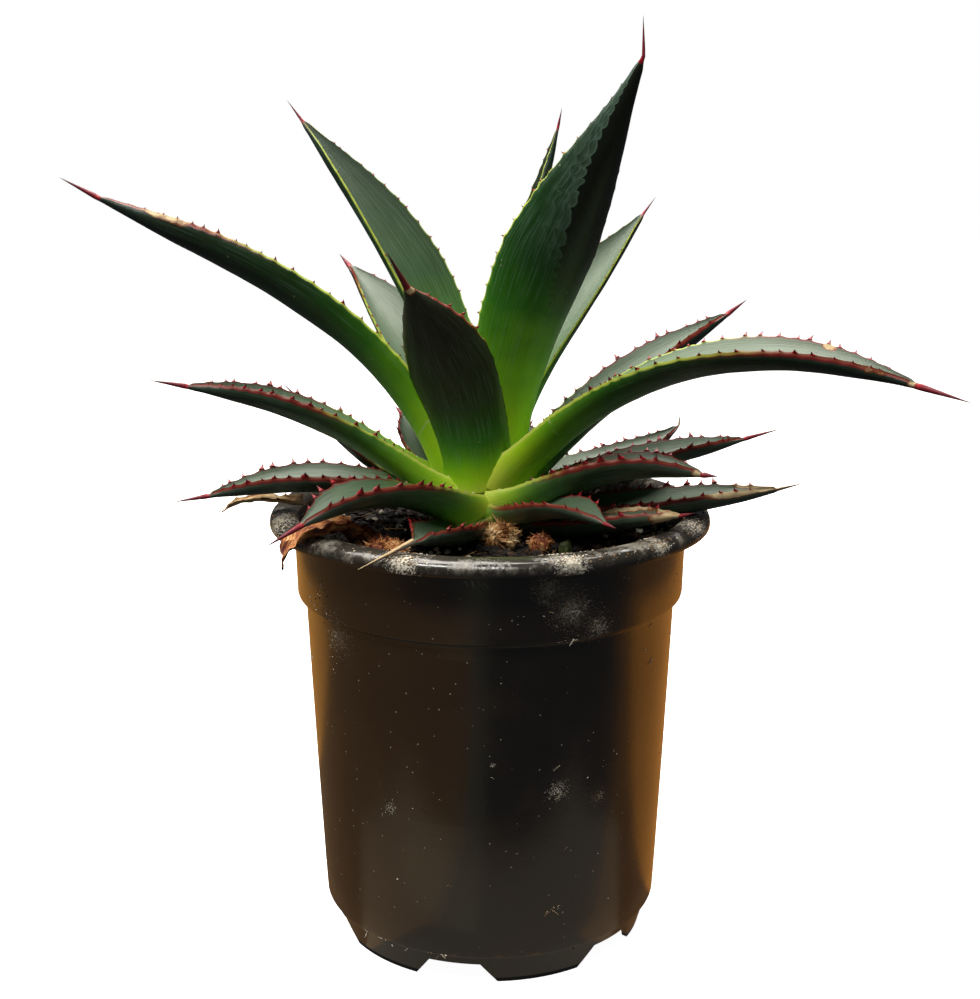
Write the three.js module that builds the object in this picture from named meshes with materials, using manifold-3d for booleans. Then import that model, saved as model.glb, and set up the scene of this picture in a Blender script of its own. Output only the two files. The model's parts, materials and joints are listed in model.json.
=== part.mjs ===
// A young agave in a round black nursery pot, in millimetres, +Z up.
// The origin is the centre of the pot's foot on the surface it stands on.
// The pot holds potting mix, the mix holds the plant's short stem and roots, and every leaf,
// dry leaf and loose bit of bark is a solid of its own.
import * as THREE from "three";
import { mergeVertices } from "three/addons/utils/BufferGeometryUtils.js";
import Module from "manifold-3d";

const wasm = await Module();
wasm.setup();

// ---- Driving dimensions ----------------------------------------------------------------------
const GAP = 0.35; // clearance kept between touching pieces

const POT = {
  height: 165.4,
  wall: 1.6,
  lipRadius: 82.5, // outside of the rolled lip
  lipSkirtZ: 159.6, // lower edge of the lip's skirt
  bandTopRadius: 73.4,
  bandRadius: 72.7, // outside of the band under the lip
  bandZ: 133.5, // step at the bottom of the band
  wallTopRadius: 69.8,
  wallFootRadius: 64.4,
  grooveZ: 12.6, // where the wall steps in to the foot
  footTopRadius: 62.6,
  footRadius: 59.2,
  footWall: 2.6,
  floorZ: 10.6, // underside of the floor
  floorThickness: 1.8,
};
const NOTCHES = { count: 6, firstAzimuth: 257.8, low: 15.5, high: 9.5, top: 8.4 };
const DRAIN = { halfWidth: 8, inner: 50, outer: 61.5 };

const SOIL = { level: 156, lumps: 1.4, segments: 40 };

const STEM = { x: -4, y: 0, topZ: 190 };
const ROOTS = { count: 5, radius: 2.8, reach: 44, bottomZ: 62 };

const CIRCLE = 40; // segments of the pot's round shapes

// ---- Solids ----------------------------------------------------------------------------------

// A closed geometry as a manifold-3d solid, for the cuts.
function solidOf(geometry) {
  const bare = geometry.index ? geometry.toNonIndexed() : geometry.clone();
  bare.deleteAttribute("normal");
  bare.deleteAttribute("uv");
  const merged = mergeVertices(bare, 1e-3);
  return new wasm.Manifold(
    new wasm.Mesh({
      numProp: 3,
      vertProperties: merged.attributes.position.array,
      triVerts: new Uint32Array(merged.index.array),
    }),
  );
}

// A solid's largest body, so that a sliver left by a cut is dropped.
function largestBody(solid) {
  const bodies = solid.decompose();
  return bodies.reduce((a, b) => (b.volume() > a.volume() ? b : a));
}

function geometryOf(solid) {
  const mesh = solid.getMesh();
  return new THREE.BufferGeometry()
    .setAttribute("position", new THREE.BufferAttribute(mesh.vertProperties, 3))
    .setIndex(new THREE.BufferAttribute(mesh.triVerts, 1));
}

// A closed skin over rings of points, each ring with the same even count. The two ends are closed
// by strips from one half of the ring to the other, which also suits a crescent.
function skin(rings) {
  const around = rings[0].length;
  const points = rings.flat();
  const index = [];
  for (let i = 0; i + 1 < rings.length; i += 1) {
    for (let k = 0; k < around; k += 1) {
      const a = i * around + k;
      const b = i * around + ((k + 1) % around);
      index.push(a, b, b + around, a, b + around, a + around);
    }
  }
  const last = points.length - around;
  for (let k = 0; k + 1 < around / 2; k += 1) {
    const [a, b, c, d] = [k, k + 1, around - k - 1, (around - k) % around];
    index.push(b, a, c, last + a, last + b, last + c);
    if (k > 0) index.push(c, a, d, last + a, last + c, last + d);
  }
  const [a, b, c] = [around / 2 - 1, around / 2, around / 2 + 1];
  index.push(b, a, c, last + a, last + b, last + c);
  return new THREE.BufferGeometry().setFromPoints(points).setIndex(index);
}

// Turns a LatheGeometry, which spins about Y, to spin about +Z.
function lathe(profile, segments = CIRCLE) {
  const outline = profile.map(([r, z]) => new THREE.Vector2(r, z));
  return new THREE.LatheGeometry(outline, segments).rotateX(Math.PI / 2);
}

// Smooth curve through a few [x, y] knots, with no overshoot at a peak.
function smooth(knots, x) {
  const last = knots.length - 1;
  if (x <= knots[0][0]) return knots[0][1];
  if (x >= knots[last][0]) return knots[last][1];
  const slope = (i) => (knots[i + 1][1] - knots[i][1]) / (knots[i + 1][0] - knots[i][0]);
  const tangent = (i) => {
    if (i === 0) return slope(0);
    if (i === last) return slope(last - 1);
    const [a, b] = [slope(i - 1), slope(i)];
    return a * b <= 0 ? 0 : (2 * a * b) / (a + b);
  };
  const i = knots.findIndex((k) => k[0] > x) - 1;
  const span = knots[i + 1][0] - knots[i][0];
  const u = (x - knots[i][0]) / span;
  const rise = u * u * (3 - 2 * u);
  return (
    knots[i][1] * (1 - rise) + knots[i + 1][1] * rise +
    span * (tangent(i) * u * (1 - u) ** 2 - tangent(i + 1) * u * u * (1 - u))
  );
}

const radians = THREE.MathUtils.degToRad;

// ---- The pot: one thin injection-moulded shell ---------------------------------------------------
function potSolid() {
  const { wall } = POT;
  const floorTop = POT.floorZ + POT.floorThickness;
  const shell = lathe([
    // underside of the floor and the inside of the foot ring
    [0, POT.floorZ],
    [POT.footTopRadius - POT.footWall - 1, POT.floorZ],
    [POT.footRadius - POT.footWall, 0],
    [POT.footRadius, 0],
    [POT.footRadius + 0.8, 1],
    [POT.footTopRadius, POT.grooveZ - 0.6],
    // the wall, the band and the underside of the lip
    [POT.wallFootRadius, POT.grooveZ],
    [POT.wallTopRadius, POT.bandZ - 1.2],
    [POT.bandRadius, POT.bandZ],
    [POT.bandRadius + 0.5, POT.bandZ + 2],
    [POT.bandTopRadius, POT.lipSkirtZ - 2],
    [POT.bandTopRadius, 162],
    [POT.lipRadius - 2.4, 162],
    [POT.lipRadius - 1.6, POT.lipSkirtZ],
    [POT.lipRadius - 0.4, POT.lipSkirtZ],
    // over the rounded lip
    [POT.lipRadius, 160.4],
    [POT.lipRadius - 0.6, 162.6],
    [POT.lipRadius - 2.6, 164.4],
    [POT.lipRadius - 5.6, POT.height],
    [POT.lipRadius - 8.2, 165],
    [POT.bandTopRadius - wall, 163.4],
    // down the inside
    [POT.bandRadius - wall, POT.bandZ + 1.6],
    [POT.wallTopRadius - wall, POT.bandZ - 0.6],
    [POT.wallFootRadius - wall, floorTop + 1.5],
    [POT.wallFootRadius - wall - 1.5, floorTop],
    [0, floorTop],
  ]);
  let pot = solidOf(shell);
  for (let i = 0; i < NOTCHES.count; i += 1) {
    const azimuth = radians(NOTCHES.firstAzimuth + (360 / NOTCHES.count) * i);
    pot = pot.subtract(solidOf(notchCutter().rotateZ(azimuth)));
    pot = pot.subtract(solidOf(drainCutter().rotateZ(azimuth)));
  }
  return pot;
}

// A wedge with sloped sides that takes a gap out of the foot ring, pointing along +X.
function notchCutter() {
  const outline = new THREE.Shape([
    new THREE.Vector2(-NOTCHES.low, -1),
    new THREE.Vector2(NOTCHES.low, -1),
    new THREE.Vector2(NOTCHES.high, NOTCHES.top),
    new THREE.Vector2(-NOTCHES.high, NOTCHES.top),
  ]);
  const cutter = new THREE.ExtrudeGeometry(outline, { depth: 30, bevelEnabled: false });
  return cutter.rotateX(Math.PI / 2).rotateZ(Math.PI / 2).translate(40, 0, 0);
}

// The drain hole above each notch: it opens the corner between the floor and the foot.
function drainCutter() {
  const height = 6;
  const length = DRAIN.outer - DRAIN.inner;
  const cutter = new THREE.BoxGeometry(length, 2 * DRAIN.halfWidth, height);
  return cutter.translate((DRAIN.inner + DRAIN.outer) / 2, 0, NOTCHES.top + height / 2 - 0.5);
}

// ---- The plant's frame -----------------------------------------------------------------------------

// Radius of the stem with the leaf bases' inner scars, at a height.
const STEM_PROFILE = [
  [58, 3], [75, 6], [110, 9], [146, 13], [158, 19], [166, 17.5], [174, 13.5], [182, 9], [188, 4.5],
];

function stemRadius(z) {
  return smooth(STEM_PROFILE, z);
}

function stemSolid(grow) {
  const rings = STEM_PROFILE.map(([z, r]) => [r + grow, z]);
  const outline = [[0, 56 - grow], ...rings, [0, STEM.topZ + grow]];
  let stem = solidOf(lathe(outline, 20).translate(STEM.x, STEM.y, 0));
  for (let i = 0; i < ROOTS.count; i += 1) {
    stem = stem.add(solidOf(rootGeometry(i, grow)));
  }
  return stem;
}

// One fleshy root: it leaves the stem sideways and bends down into the mix.
function rootGeometry(i, grow) {
  const azimuth = radians((360 / ROOTS.count) * i + 20);
  const startZ = 120 - 9 * (i % 3);
  const reach = ROOTS.reach - 4 * (i % 2);
  const at = (r, z) => new THREE.Vector3(
    STEM.x + r * Math.cos(azimuth), STEM.y + r * Math.sin(azimuth), z,
  );
  const curve = new THREE.QuadraticBezierCurve3(
    at(2, startZ), at(reach, startZ - 4), at(reach + 4, ROOTS.bottomZ - 14 * (i % 2)),
  );
  const sides = 6;
  const steps = 5;
  const rings = [];
  for (let k = 0; k <= steps; k += 1) {
    const s = k / steps;
    const along = curve.getTangent(s);
    const side = new THREE.Vector3(-Math.sin(azimuth), Math.cos(azimuth), 0);
    const up = new THREE.Vector3().crossVectors(along, side);
    const radius = ROOTS.radius * (1 - 0.65 * s) + grow;
    const centre = curve.getPoint(s).addScaledVector(along, k === steps ? grow : 0);
    rings.push(ringOf(centre, side, up, radius, sides));
  }
  return skin(rings);
}

function ringOf(centre, side, up, radius, sides) {
  return Array.from({ length: sides }, (_, k) => {
    const turn = (2 * Math.PI * k) / sides;
    return centre.clone()
      .addScaledVector(side, radius * Math.cos(turn))
      .addScaledVector(up, radius * Math.sin(turn));
  });
}

// ---- Leaves -----------------------------------------------------------------------------------------
// A leaf's rib is a curve from its root on the stem to the tip of its spine. Angles are in degrees:
// azimuth is the way the root faces, 0 along +X and 270 along -Y; swing turns the tip from that;
// rise is the climb above level as it leaves the stem, and arrive the climb at its tip.
// reach is the tip's distance from the stem's axis and top its height. width is the blade's widest,
// fold the half angle of its channel, twist turns the blade about its rib, and spine is the spine's
// length. The spine goes on the way the blade arrives, unless point gives it a climb of its own.
// sideways turns the spine from the blade's own way, and slim narrows the blade towards its tip.
const LEAVES = [
  // the heart of the rosette, youngest first
  { name: "leaf_heart", azimuth: 15, root: 184, rise: 84, reach: 31, top: 310, arrive: 76, width: 17, fold: 75, spine: 6 },
  { name: "leaf_tall_right", azimuth: 306, root: 180, rise: 77, reach: 78, top: 337, arrive: 60, width: 37, fold: 34, spine: 16, swing: 6, point: 92, twist: -30, slim: 0.3 },
  { name: "leaf_upper_left", azimuth: 140, root: 178, rise: 92, reach: 73, top: 313, arrive: 50, width: 29, fold: 44, spine: 8, swing: 25 },
  { name: "leaf_back_right_upper", azimuth: 35, root: 178, rise: 72, reach: 84, top: 277, arrive: 44, width: 25, fold: 44, spine: 8 },
  { name: "leaf_facing", azimuth: 262, root: 176, rise: 68, reach: 60, top: 263, arrive: 46, width: 34, fold: 36, spine: 16, swing: -22, point: 46 },
  { name: "leaf_long_left", azimuth: 198, root: 175, rise: 70, reach: 147, top: 286, arrive: 27, width: 29, fold: 40, spine: 13, twist: 15, swing: -12 },
  { name: "leaf_back_left_upper", azimuth: 128, root: 174, rise: 68, reach: 94, top: 253, arrive: 28, width: 32, fold: 36, spine: 8 },
  { name: "leaf_long_right", azimuth: 338, root: 174, rise: 51, reach: 177, top: 218, arrive: -15, width: 33, fold: 40, spine: 16, swing: -6 },
  { name: "leaf_back_upper", azimuth: 72, root: 173, rise: 55, reach: 86, top: 238, arrive: 35, width: 30, fold: 40, spine: 10 },
  { name: "leaf_right_behind", azimuth: 20, root: 171, rise: 42, reach: 111, top: 238, arrive: 30, width: 30, fold: 42, spine: 9 },
  { name: "leaf_mid_left", azimuth: 195, root: 170, rise: 36, reach: 119, top: 217, arrive: 10, width: 28, fold: 44, spine: 12 },
  { name: "leaf_back_mid", azimuth: 104, root: 169, rise: 44, reach: 88, top: 212, arrive: 24, width: 30, fold: 38, spine: 10 },
  { name: "leaf_left_behind", azimuth: 160, root: 167, rise: 12, reach: 82, top: 207, arrive: 38, width: 18, fold: 42, spine: 10 },
  { name: "leaf_back_left_lower", azimuth: 125, root: 167, rise: 36, reach: 60, top: 194, arrive: 20, width: 28, fold: 36, spine: 5 },
  { name: "leaf_back_right_lower", azimuth: 40, root: 168, rise: 6, reach: 109, top: 187, arrive: 28, width: 27, fold: 38, spine: 4.5, point: 82 },
  { name: "leaf_low_right", azimuth: 328, root: 167, rise: 26, reach: 92, top: 184, arrive: -6, width: 32, fold: 40, spine: 5, swing: 8 },
  { name: "leaf_right_far", azimuth: 10, root: 165, rise: 18, reach: 118, top: 190, arrive: 12, width: 26, fold: 42, spine: 14 },
  { name: "leaf_back_low", azimuth: 75, root: 165, rise: 24, reach: 87, top: 182, arrive: 6, width: 30, fold: 38, spine: 10 },
  { name: "leaf_low_left", azimuth: 190, root: 166, rise: 20, reach: 113, top: 170.5, arrive: -10, width: 28, fold: 40, spine: 12 },
  { name: "leaf_front_left", azimuth: 236, root: 166, rise: 26, reach: 101, top: 168, arrive: -18, width: 30, fold: 40, spine: 15, swing: -10 },
  { name: "leaf_right_low", azimuth: 350, root: 163, rise: 0, reach: 120, top: 178, arrive: 14, width: 27, fold: 42, spine: 9 },
  { name: "leaf_front_right", azimuth: 306, root: 164, rise: 10, reach: 79, top: 172, arrive: -8, width: 22, fold: 46, spine: 5 },
  { name: "leaf_right_lowest", azimuth: 326, root: 160, rise: -2, reach: 90, top: 174, arrive: 14, width: 22, fold: 46, spine: 5 },
  { name: "leaf_front_lowest", azimuth: 254, root: 160, rise: 2, reach: 87, top: 161.5, arrive: 8, width: 25, fold: 44, spine: 20.7, swing: -11, point: -22, sideways: -40 },
];

// The blade's width along it, from root (0) to the start of the spine (1), as a share of its widest.
const OUTLINE = [[0, 1], [0.14, 0.84], [0.3, 0.9], [0.5, 1], [0.66, 0.86], [0.8, 0.58], [0.91, 0.29], [1, 0.08]];
// The blade's thickness at its rib, in millimetres, and the share of the fold angle along it.
const THICKNESS = [[0, 6.5], [0.15, 5.5], [0.5, 4], [0.85, 3], [1, 2.2]];
const FOLDING = [[0, 1.5], [0.16, 1.15], [0.5, 1], [0.85, 1.35], [1, 1.9]];
const SLIMMING = [[0.55, 0], [0.9, 1]]; // how a slim leaf narrows towards its tip
const LEAF_STEPS = 10;
const ACROSS = 4; // facets over each face of a leaf

// A direction given by its azimuth and its climb, in radians.
function heading(azimuth, rise) {
  return new THREE.Vector3(
    Math.cos(rise) * Math.cos(azimuth), Math.cos(rise) * Math.sin(azimuth), Math.sin(rise),
  );
}

// The rib: a curve for the blade and a straight spine after it.
function leafRib(leaf) {
  const base = radians(leaf.azimuth);
  const end = radians(leaf.azimuth + (leaf.swing ?? 0));
  const at = (azimuth, r, z) => new THREE.Vector3(
    STEM.x + r * Math.cos(azimuth), STEM.y + r * Math.sin(azimuth), z,
  );
  const root = at(base, leaf.from ?? stemRadius(leaf.root) - 3, leaf.root);
  const tip = at(end, leaf.reach, leaf.top);
  const point = heading(end + radians(leaf.sideways ?? 0), radians(leaf.point ?? leaf.arrive));
  const bladeTip = tip.clone().addScaledVector(point, -leaf.spine);
  const pull = root.distanceTo(bladeTip) * 0.38;
  const leave = root.clone().addScaledVector(heading(base, radians(leaf.rise)), pull);
  const arrive = bladeTip.clone().addScaledVector(heading(end, radians(leaf.arrive)), -pull);
  return { blade: new THREE.CubicBezierCurve3(root, leave, arrive, bladeTip), point, tip };
}

// One ring of a leaf's skin: over the channelled face from margin to margin, and back underneath.
function leafRing(centre, side, face, size, grow) {
  const ring = [];
  const curl = Math.max(size.fold, 0.05);
  const radius = size.width / 2 / curl;
  const place = (t, lift) => {
    const turn = t * curl;
    const out = radius - lift;
    return centre.clone()
      .addScaledVector(side, out * Math.sin(turn) + grow * t * Math.cos(turn))
      .addScaledVector(face, radius - out * Math.cos(turn) + grow * t * Math.sin(turn));
  };
  for (let k = 0; k <= ACROSS; k += 1) {
    const t = (2 * k) / ACROSS - 1;
    const body = Math.sqrt(1 - t * t);
    ring.push(place(t, size.crown * body + grow * (k % ACROSS ? 1 : 0)));
  }
  for (let k = ACROSS - 1; k > 0; k -= 1) {
    const t = (2 * k) / ACROSS - 1;
    ring.push(place(t, -size.thickness * Math.sqrt(1 - t * t) - grow));
  }
  return ring;
}

function leafGeometry(leaf, grow = 0) {
  const { blade, point, tip } = leafRib(leaf);
  const azimuth = radians(leaf.azimuth);
  const side = new THREE.Vector3(Math.sin(azimuth), -Math.cos(azimuth), 0);
  const rings = [];
  const addRing = (b, centre, along, taper) => {
    side.addScaledVector(along, -side.dot(along)).normalize();
    const face = new THREE.Vector3().crossVectors(side, along);
    const turn = radians(leaf.twist ?? 0) * b;
    const size = {
      width: leaf.width * smooth(OUTLINE, b) * taper * (1 - (leaf.slim ?? 0) * smooth(SLIMMING, b)),
      thickness: smooth(THICKNESS, b) * (leaf.width / 30) * taper,
      fold: radians(Math.min(leaf.fold * smooth(FOLDING, b), 82)),
      crown: taper < 1 ? taper : 0,
    };
    const across = side.clone().applyAxisAngle(along, turn);
    rings.push(leafRing(centre, across, face.applyAxisAngle(along, turn), size, grow));
  };
  for (let k = 0; k <= LEAF_STEPS; k += 1) {
    const b = k / LEAF_STEPS;
    const along = blade.getTangentAt(b);
    addRing(b, blade.getPointAt(b).addScaledVector(along, k ? 0 : -grow), along, 1);
  }
  addRing(1, blade.v3.clone().lerp(tip, 0.4), point, 0.7);
  addRing(1, tip.clone().addScaledVector(point, grow), point, 0.15);
  return skin(rings);
}

// ---- Dry leaves and loose bits on the mix --------------------------------------------------------------
// Dry leaves have let go of the stem, so each starts at a distance of its own from the stem's axis.
const DRY_LEAVES = [
  { name: "dead_leaf_over_rim", azimuth: 220, from: 52, root: 161, rise: 50, reach: 88.5, top: 153, arrive: -82,
    width: 15, fold: 30, spine: 4 },
  { name: "dry_leaf_strip", azimuth: 187, from: 66, root: 168, rise: 4, reach: 98, top: 163.5, arrive: -38,
    width: 8, fold: 34, spine: 3 },
];

// Loose bits: their middle, half sizes and turn about Z in degrees.
const BITS = [
  { name: "bark_chip_front_left", at: [-36, -52, 160.5], half: [8, 5, 3.6], turn: -20 },
  { name: "bark_chip_front", at: [18, -36, 159], half: [4.5, 3.5, 4], turn: 15 },
  { name: "green_leaf_scrap", at: [27, -40, 158.6], half: [3, 2.2, 3.4], turn: 40 },
  { name: "fibrous_leaf_base", at: [4, -28, 159], half: [7.5, 4.5, 6], turn: 28 },
  { name: "bark_chip_back_left", at: [-50, 42, 160.5], half: [7, 5, 5], turn: 50 },
  { name: "dry_twig", at: [-47, -39, 160.5], half: [1.2, 6.5, 1.3], turn: 18 },
];

// A rounded, knobbly lump.
function bitGeometry(bit, index, grow = 0) {
  const lump = new THREE.IcosahedronGeometry(1, 1);
  const place = lump.attributes.position;
  const point = new THREE.Vector3();
  for (let i = 0; i < place.count; i += 1) {
    point.fromBufferAttribute(place, i).normalize();
    const knob = 1 + 0.16 * Math.sin(4.1 * point.x + index) * Math.cos(3.7 * point.y - 2 * index);
    const half = bit.half.map((h) => h * knob + grow);
    place.setXYZ(i, point.x * half[0], point.y * half[1], point.z * half[2]);
  }
  return lump.rotateZ(radians(bit.turn)).translate(...bit.at);
}

// ---- The potting mix: it fills the pot to just under the rim --------------------------------------------
function soilTop(x, y) {
  const waves = Math.sin(0.13 * x + 1) * Math.cos(0.11 * y) + 0.6 * Math.sin(0.29 * y + 0.21 * x);
  return SOIL.level + SOIL.lumps * waves;
}

function soilGeometry() {
  const wallRadius = (z) => {
    const share = (z - POT.grooveZ) / (POT.bandZ - 1.2 - POT.grooveZ);
    return POT.wallFootRadius + (POT.wallTopRadius - POT.wallFootRadius) * share - POT.wall;
  };
  const floor = POT.floorZ + POT.floorThickness + GAP;
  const bandInside = POT.bandRadius - POT.wall - GAP;
  const levels = [
    [3, floor],
    [wallRadius(floor) - 2.6, floor],
    [wallRadius(floor + 2.4) - 1.5 * GAP, floor + 2.4],
    [wallRadius(POT.bandZ) - 1.5 * GAP, POT.bandZ - 0.4],
    [bandInside, POT.bandZ + 2.6],
    [bandInside + 0.2, null],
    [62, null], [52, null], [42, null], [32, null], [22, null], [6, null],
  ];
  const rings = levels.map(([r, z]) => Array.from({ length: SOIL.segments }, (_, k) => {
    const turn = (2 * Math.PI * k) / SOIL.segments;
    const [x, y] = [r * Math.cos(turn), r * Math.sin(turn)];
    return new THREE.Vector3(x, y, z ?? soilTop(x, y));
  }));
  return skin(rings);
}

// ---- Building -----------------------------------------------------------------------------------------
const part = new THREE.Group();

function addNode(name, solid, material) {
  const mesh = new THREE.Mesh(geometryOf(solid), material);
  mesh.name = name;
  part.add(mesh);
}

const material = (color, roughness) => new THREE.MeshStandardMaterial({ color, roughness, metalness: 0 });
const PLASTIC = material(0x1c1815, 0.42);
const LEAF = material(0x3f5c33, 0.5);
const DRY_LEAF = material(0xb08a5a, 0.85);
const STEM_SKIN = material(0x8d8a4c, 0.7);
const MIX = material(0x17110d, 0.95);
const BARK = material(0x8a5a34, 0.9);

const pot = potSolid();
addNode("pot", pot, PLASTIC);
addNode("stem_and_roots", stemSolid(0), STEM_SKIN);

// Each leaf gives way to the stem and to the younger leaves that it wraps around.
let inside = stemSolid(GAP);
for (const leaf of [...LEAVES, ...DRY_LEAVES]) {
  const dry = DRY_LEAVES.includes(leaf);
  const blade = largestBody(solidOf(leafGeometry(leaf)).subtract(inside));
  addNode(leaf.name, blade, dry ? DRY_LEAF : LEAF);
  inside = inside.add(solidOf(leafGeometry(leaf, GAP)));
}

// Each loose bit gives way to the plant, and the mix to them all.
BITS.forEach((bit, i) => {
  addNode(bit.name, largestBody(solidOf(bitGeometry(bit, i)).subtract(inside)), BARK);
  inside = inside.add(solidOf(bitGeometry(bit, i, GAP)));
});
addNode("potting_mix", largestBody(solidOf(soilGeometry()).subtract(inside)), MIX);

export default part;
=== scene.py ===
import json
import math
import random

import bpy
from mathutils import Matrix, Vector, noise

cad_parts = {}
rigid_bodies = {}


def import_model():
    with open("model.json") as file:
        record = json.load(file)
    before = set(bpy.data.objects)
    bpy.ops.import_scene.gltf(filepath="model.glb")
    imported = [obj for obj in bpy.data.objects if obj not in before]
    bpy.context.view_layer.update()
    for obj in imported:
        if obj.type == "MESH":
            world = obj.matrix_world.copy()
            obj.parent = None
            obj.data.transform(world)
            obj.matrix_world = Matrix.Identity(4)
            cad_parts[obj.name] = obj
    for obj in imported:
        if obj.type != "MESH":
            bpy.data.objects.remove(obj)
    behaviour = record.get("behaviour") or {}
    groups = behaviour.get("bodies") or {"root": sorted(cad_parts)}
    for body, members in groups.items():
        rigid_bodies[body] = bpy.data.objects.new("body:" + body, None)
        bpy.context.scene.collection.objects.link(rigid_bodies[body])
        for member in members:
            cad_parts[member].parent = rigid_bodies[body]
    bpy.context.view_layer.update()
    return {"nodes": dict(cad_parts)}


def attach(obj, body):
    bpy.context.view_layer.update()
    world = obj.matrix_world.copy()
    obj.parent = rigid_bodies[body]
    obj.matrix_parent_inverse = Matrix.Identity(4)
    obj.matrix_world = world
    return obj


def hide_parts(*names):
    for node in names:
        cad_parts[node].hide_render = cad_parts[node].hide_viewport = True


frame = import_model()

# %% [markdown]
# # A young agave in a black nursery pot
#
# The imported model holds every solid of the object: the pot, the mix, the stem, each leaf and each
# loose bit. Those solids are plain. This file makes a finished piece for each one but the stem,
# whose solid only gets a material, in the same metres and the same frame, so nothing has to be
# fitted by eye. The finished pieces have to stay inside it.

MM = 0.001


# %% [markdown]
# ## Camera
#
# The pot tells where the eye is: its lip and its foot are circles of known size, and how much each
# one opens gives the height and the distance. The eye is about half a metre in front and a little
# above the leaves, looking down by 13.4 degrees.

# %% Camera
EYE_PLACE = (0.0, -0.559, 0.300)
LOOK_DOWN = 13.4  # degrees below level
eye = bpy.data.cameras.new("eye")
eye.sensor_width = 36.0
eye.lens = 54.9
camera = bpy.data.objects.new("camera", eye)
camera.location = EYE_PLACE
camera.rotation_euler = (math.radians(90 - LOOK_DOWN), 0.0, 0.0)
bpy.context.scene.collection.objects.link(camera)
bpy.context.scene.camera = camera
print("camera", tuple(round(v, 3) for v in camera.location), "lens", eye.lens)

# %% [markdown]
# ## Helpers for materials
#
# Colours are picked as sRGB hex values, the way a paint chart gives them, but light adds up in
# linear values, so one function converts them. A second function adds a node, sets its properties
# and fills or links its sockets: every material below is made with these two. A texture's Scale is
# how often its pattern repeats in a metre, so a third function works it out from the size that one
# repeat has on the real thing.

# %% Colour and node helpers
def linear(hex_colour):
    """An sRGB hex colour as linear red, green, blue, alpha."""
    parts = [int(hex_colour[i : i + 2], 16) / 255 for i in (1, 3, 5)]
    return tuple(c / 12.92 if c <= 0.04045 else ((c + 0.055) / 1.055) ** 2.4 for c in parts) + (1.0,)


def per_metre(size_mm):
    """How often a pattern whose repeat is this many millimetres wide fits in a metre."""
    return 1.0 / (size_mm * MM)


def add_node(tree, kind, sockets=None, **settings):
    """Adds a node, sets its properties, and gives each named socket a value or a link."""
    node = tree.nodes.new(kind)
    for name, value in settings.items():
        setattr(node, name, value)
    for key, value in (sockets or {}).items():
        socket = node.inputs[key]
        if isinstance(value, bpy.types.NodeSocket):
            tree.links.new(value, socket)
        else:
            socket.default_value = value
    return node


def new_material(name):
    """An empty node material with its surface shader, and the shader's tree."""
    material = bpy.data.materials.new(name)
    material.use_nodes = True
    tree = material.node_tree
    tree.nodes.clear()
    shader = add_node(tree, "ShaderNodeBsdfPrincipled")
    output = add_node(tree, "ShaderNodeOutputMaterial")
    tree.links.new(shader.outputs["BSDF"], output.inputs["Surface"])
    return material, tree, shader


def set_ramp(node, stops):
    """Fills a colour ramp with (position, hex colour) stops."""
    ramp = node.color_ramp
    while len(ramp.elements) > 1:
        ramp.elements.remove(ramp.elements[-1])
    ramp.elements[0].position = stops[0][0]
    ramp.elements[0].color = linear(stops[0][1])
    for position, colour in stops[1:]:
        ramp.elements.new(position).color = linear(colour)


print("helpers: a 1 mm grain is Scale", round(per_metre(1.0)))

# %% [markdown]
# ## Living leaf skin
#
# An agave leaf is a thick, water-filled blade under a hard skin with a waxy bloom. Near the stem it
# had no light, so it is a pale yellow-green there, and it turns deep green and then blue-grey
# towards the tip; that pale foot is painted brighter still, a painted glow of light through the
# thin leaf. The channelled upper face carries more wax and looks greyer. A thin light line runs
# along each margin, partly the edge's own colour and partly a painted glow, and turns maroon on
# leaves that have been in the sun. Painted shade darkens some blades towards brown. The skin is
# satin-smooth, with fine lengthwise ribs and the printed outline of the leaf it was folded
# against in the bud. The pattern follows the blade, so it reads measures that each leaf's mesh
# carries: the way along, the way across, the wax, the painted shade, the bud print's place, and
# how horny, red, dry or near to a scar the spot is.

# %% Leaf skin: green, wax, painted glow and painted shade
MEASURES = ("along", "across", "bloom", "shade", "print", "horn", "red", "dry", "scar")
leaf_skin, tree, shader = new_material("agave_leaf_waxy_skin")
here = add_node(tree, "ShaderNodeTexCoord").outputs["Object"]
reads = {}
for measure in MEASURES:
    reads[measure] = add_node(tree, "ShaderNodeAttribute", attribute_name=measure).outputs["Fac"]

# Cloudy changes about 2 cm and about 3 mm wide.
cloud = add_node(tree, "ShaderNodeTexNoise", {"Vector": here, "Scale": per_metre(22.222),
                                              "Detail": 3.0})
mottle = add_node(tree, "ShaderNodeTexNoise", {"Vector": here, "Scale": per_metre(3.125),
                                               "Detail": 5.0})

# The green by the way along the blade, shifted a little by the clouds.
drift = add_node(tree, "ShaderNodeMath", {0: cloud.outputs["Fac"], 1: 0.16, 2: -0.08}, operation="MULTIPLY_ADD")
zone = add_node(tree, "ShaderNodeMath", {0: reads["along"], 1: drift.outputs[0]}, operation="ADD")
# The first stops of this ramp and the next are brighter than the foot's own pale colour: a painted glow of light
# through the thin leaf.
green = add_node(tree, "ShaderNodeValToRGB", {"Fac": zone.outputs[0]})
set_ramp(green, [
    (0.0, "#cfe04a"), (0.07, "#a9d61c"), (0.16, "#74b410"), (0.28, "#357612"),
    (0.45, "#214a18"), (0.75, "#203523"), (1.0, "#26332b"),
])
grey = add_node(tree, "ShaderNodeValToRGB", {"Fac": zone.outputs[0]})
set_ramp(grey, [
    (0.0, "#b4cc46"), (0.1, "#8db03e"), (0.22, "#648447"), (0.45, "#596e52"), (1.0, "#616e5e"),
])
waxed = add_node(tree, "ShaderNodeMix", {0: reads["bloom"], 6: green.outputs[0], 7: grey.outputs[0]},
                 data_type="RGBA")
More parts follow.
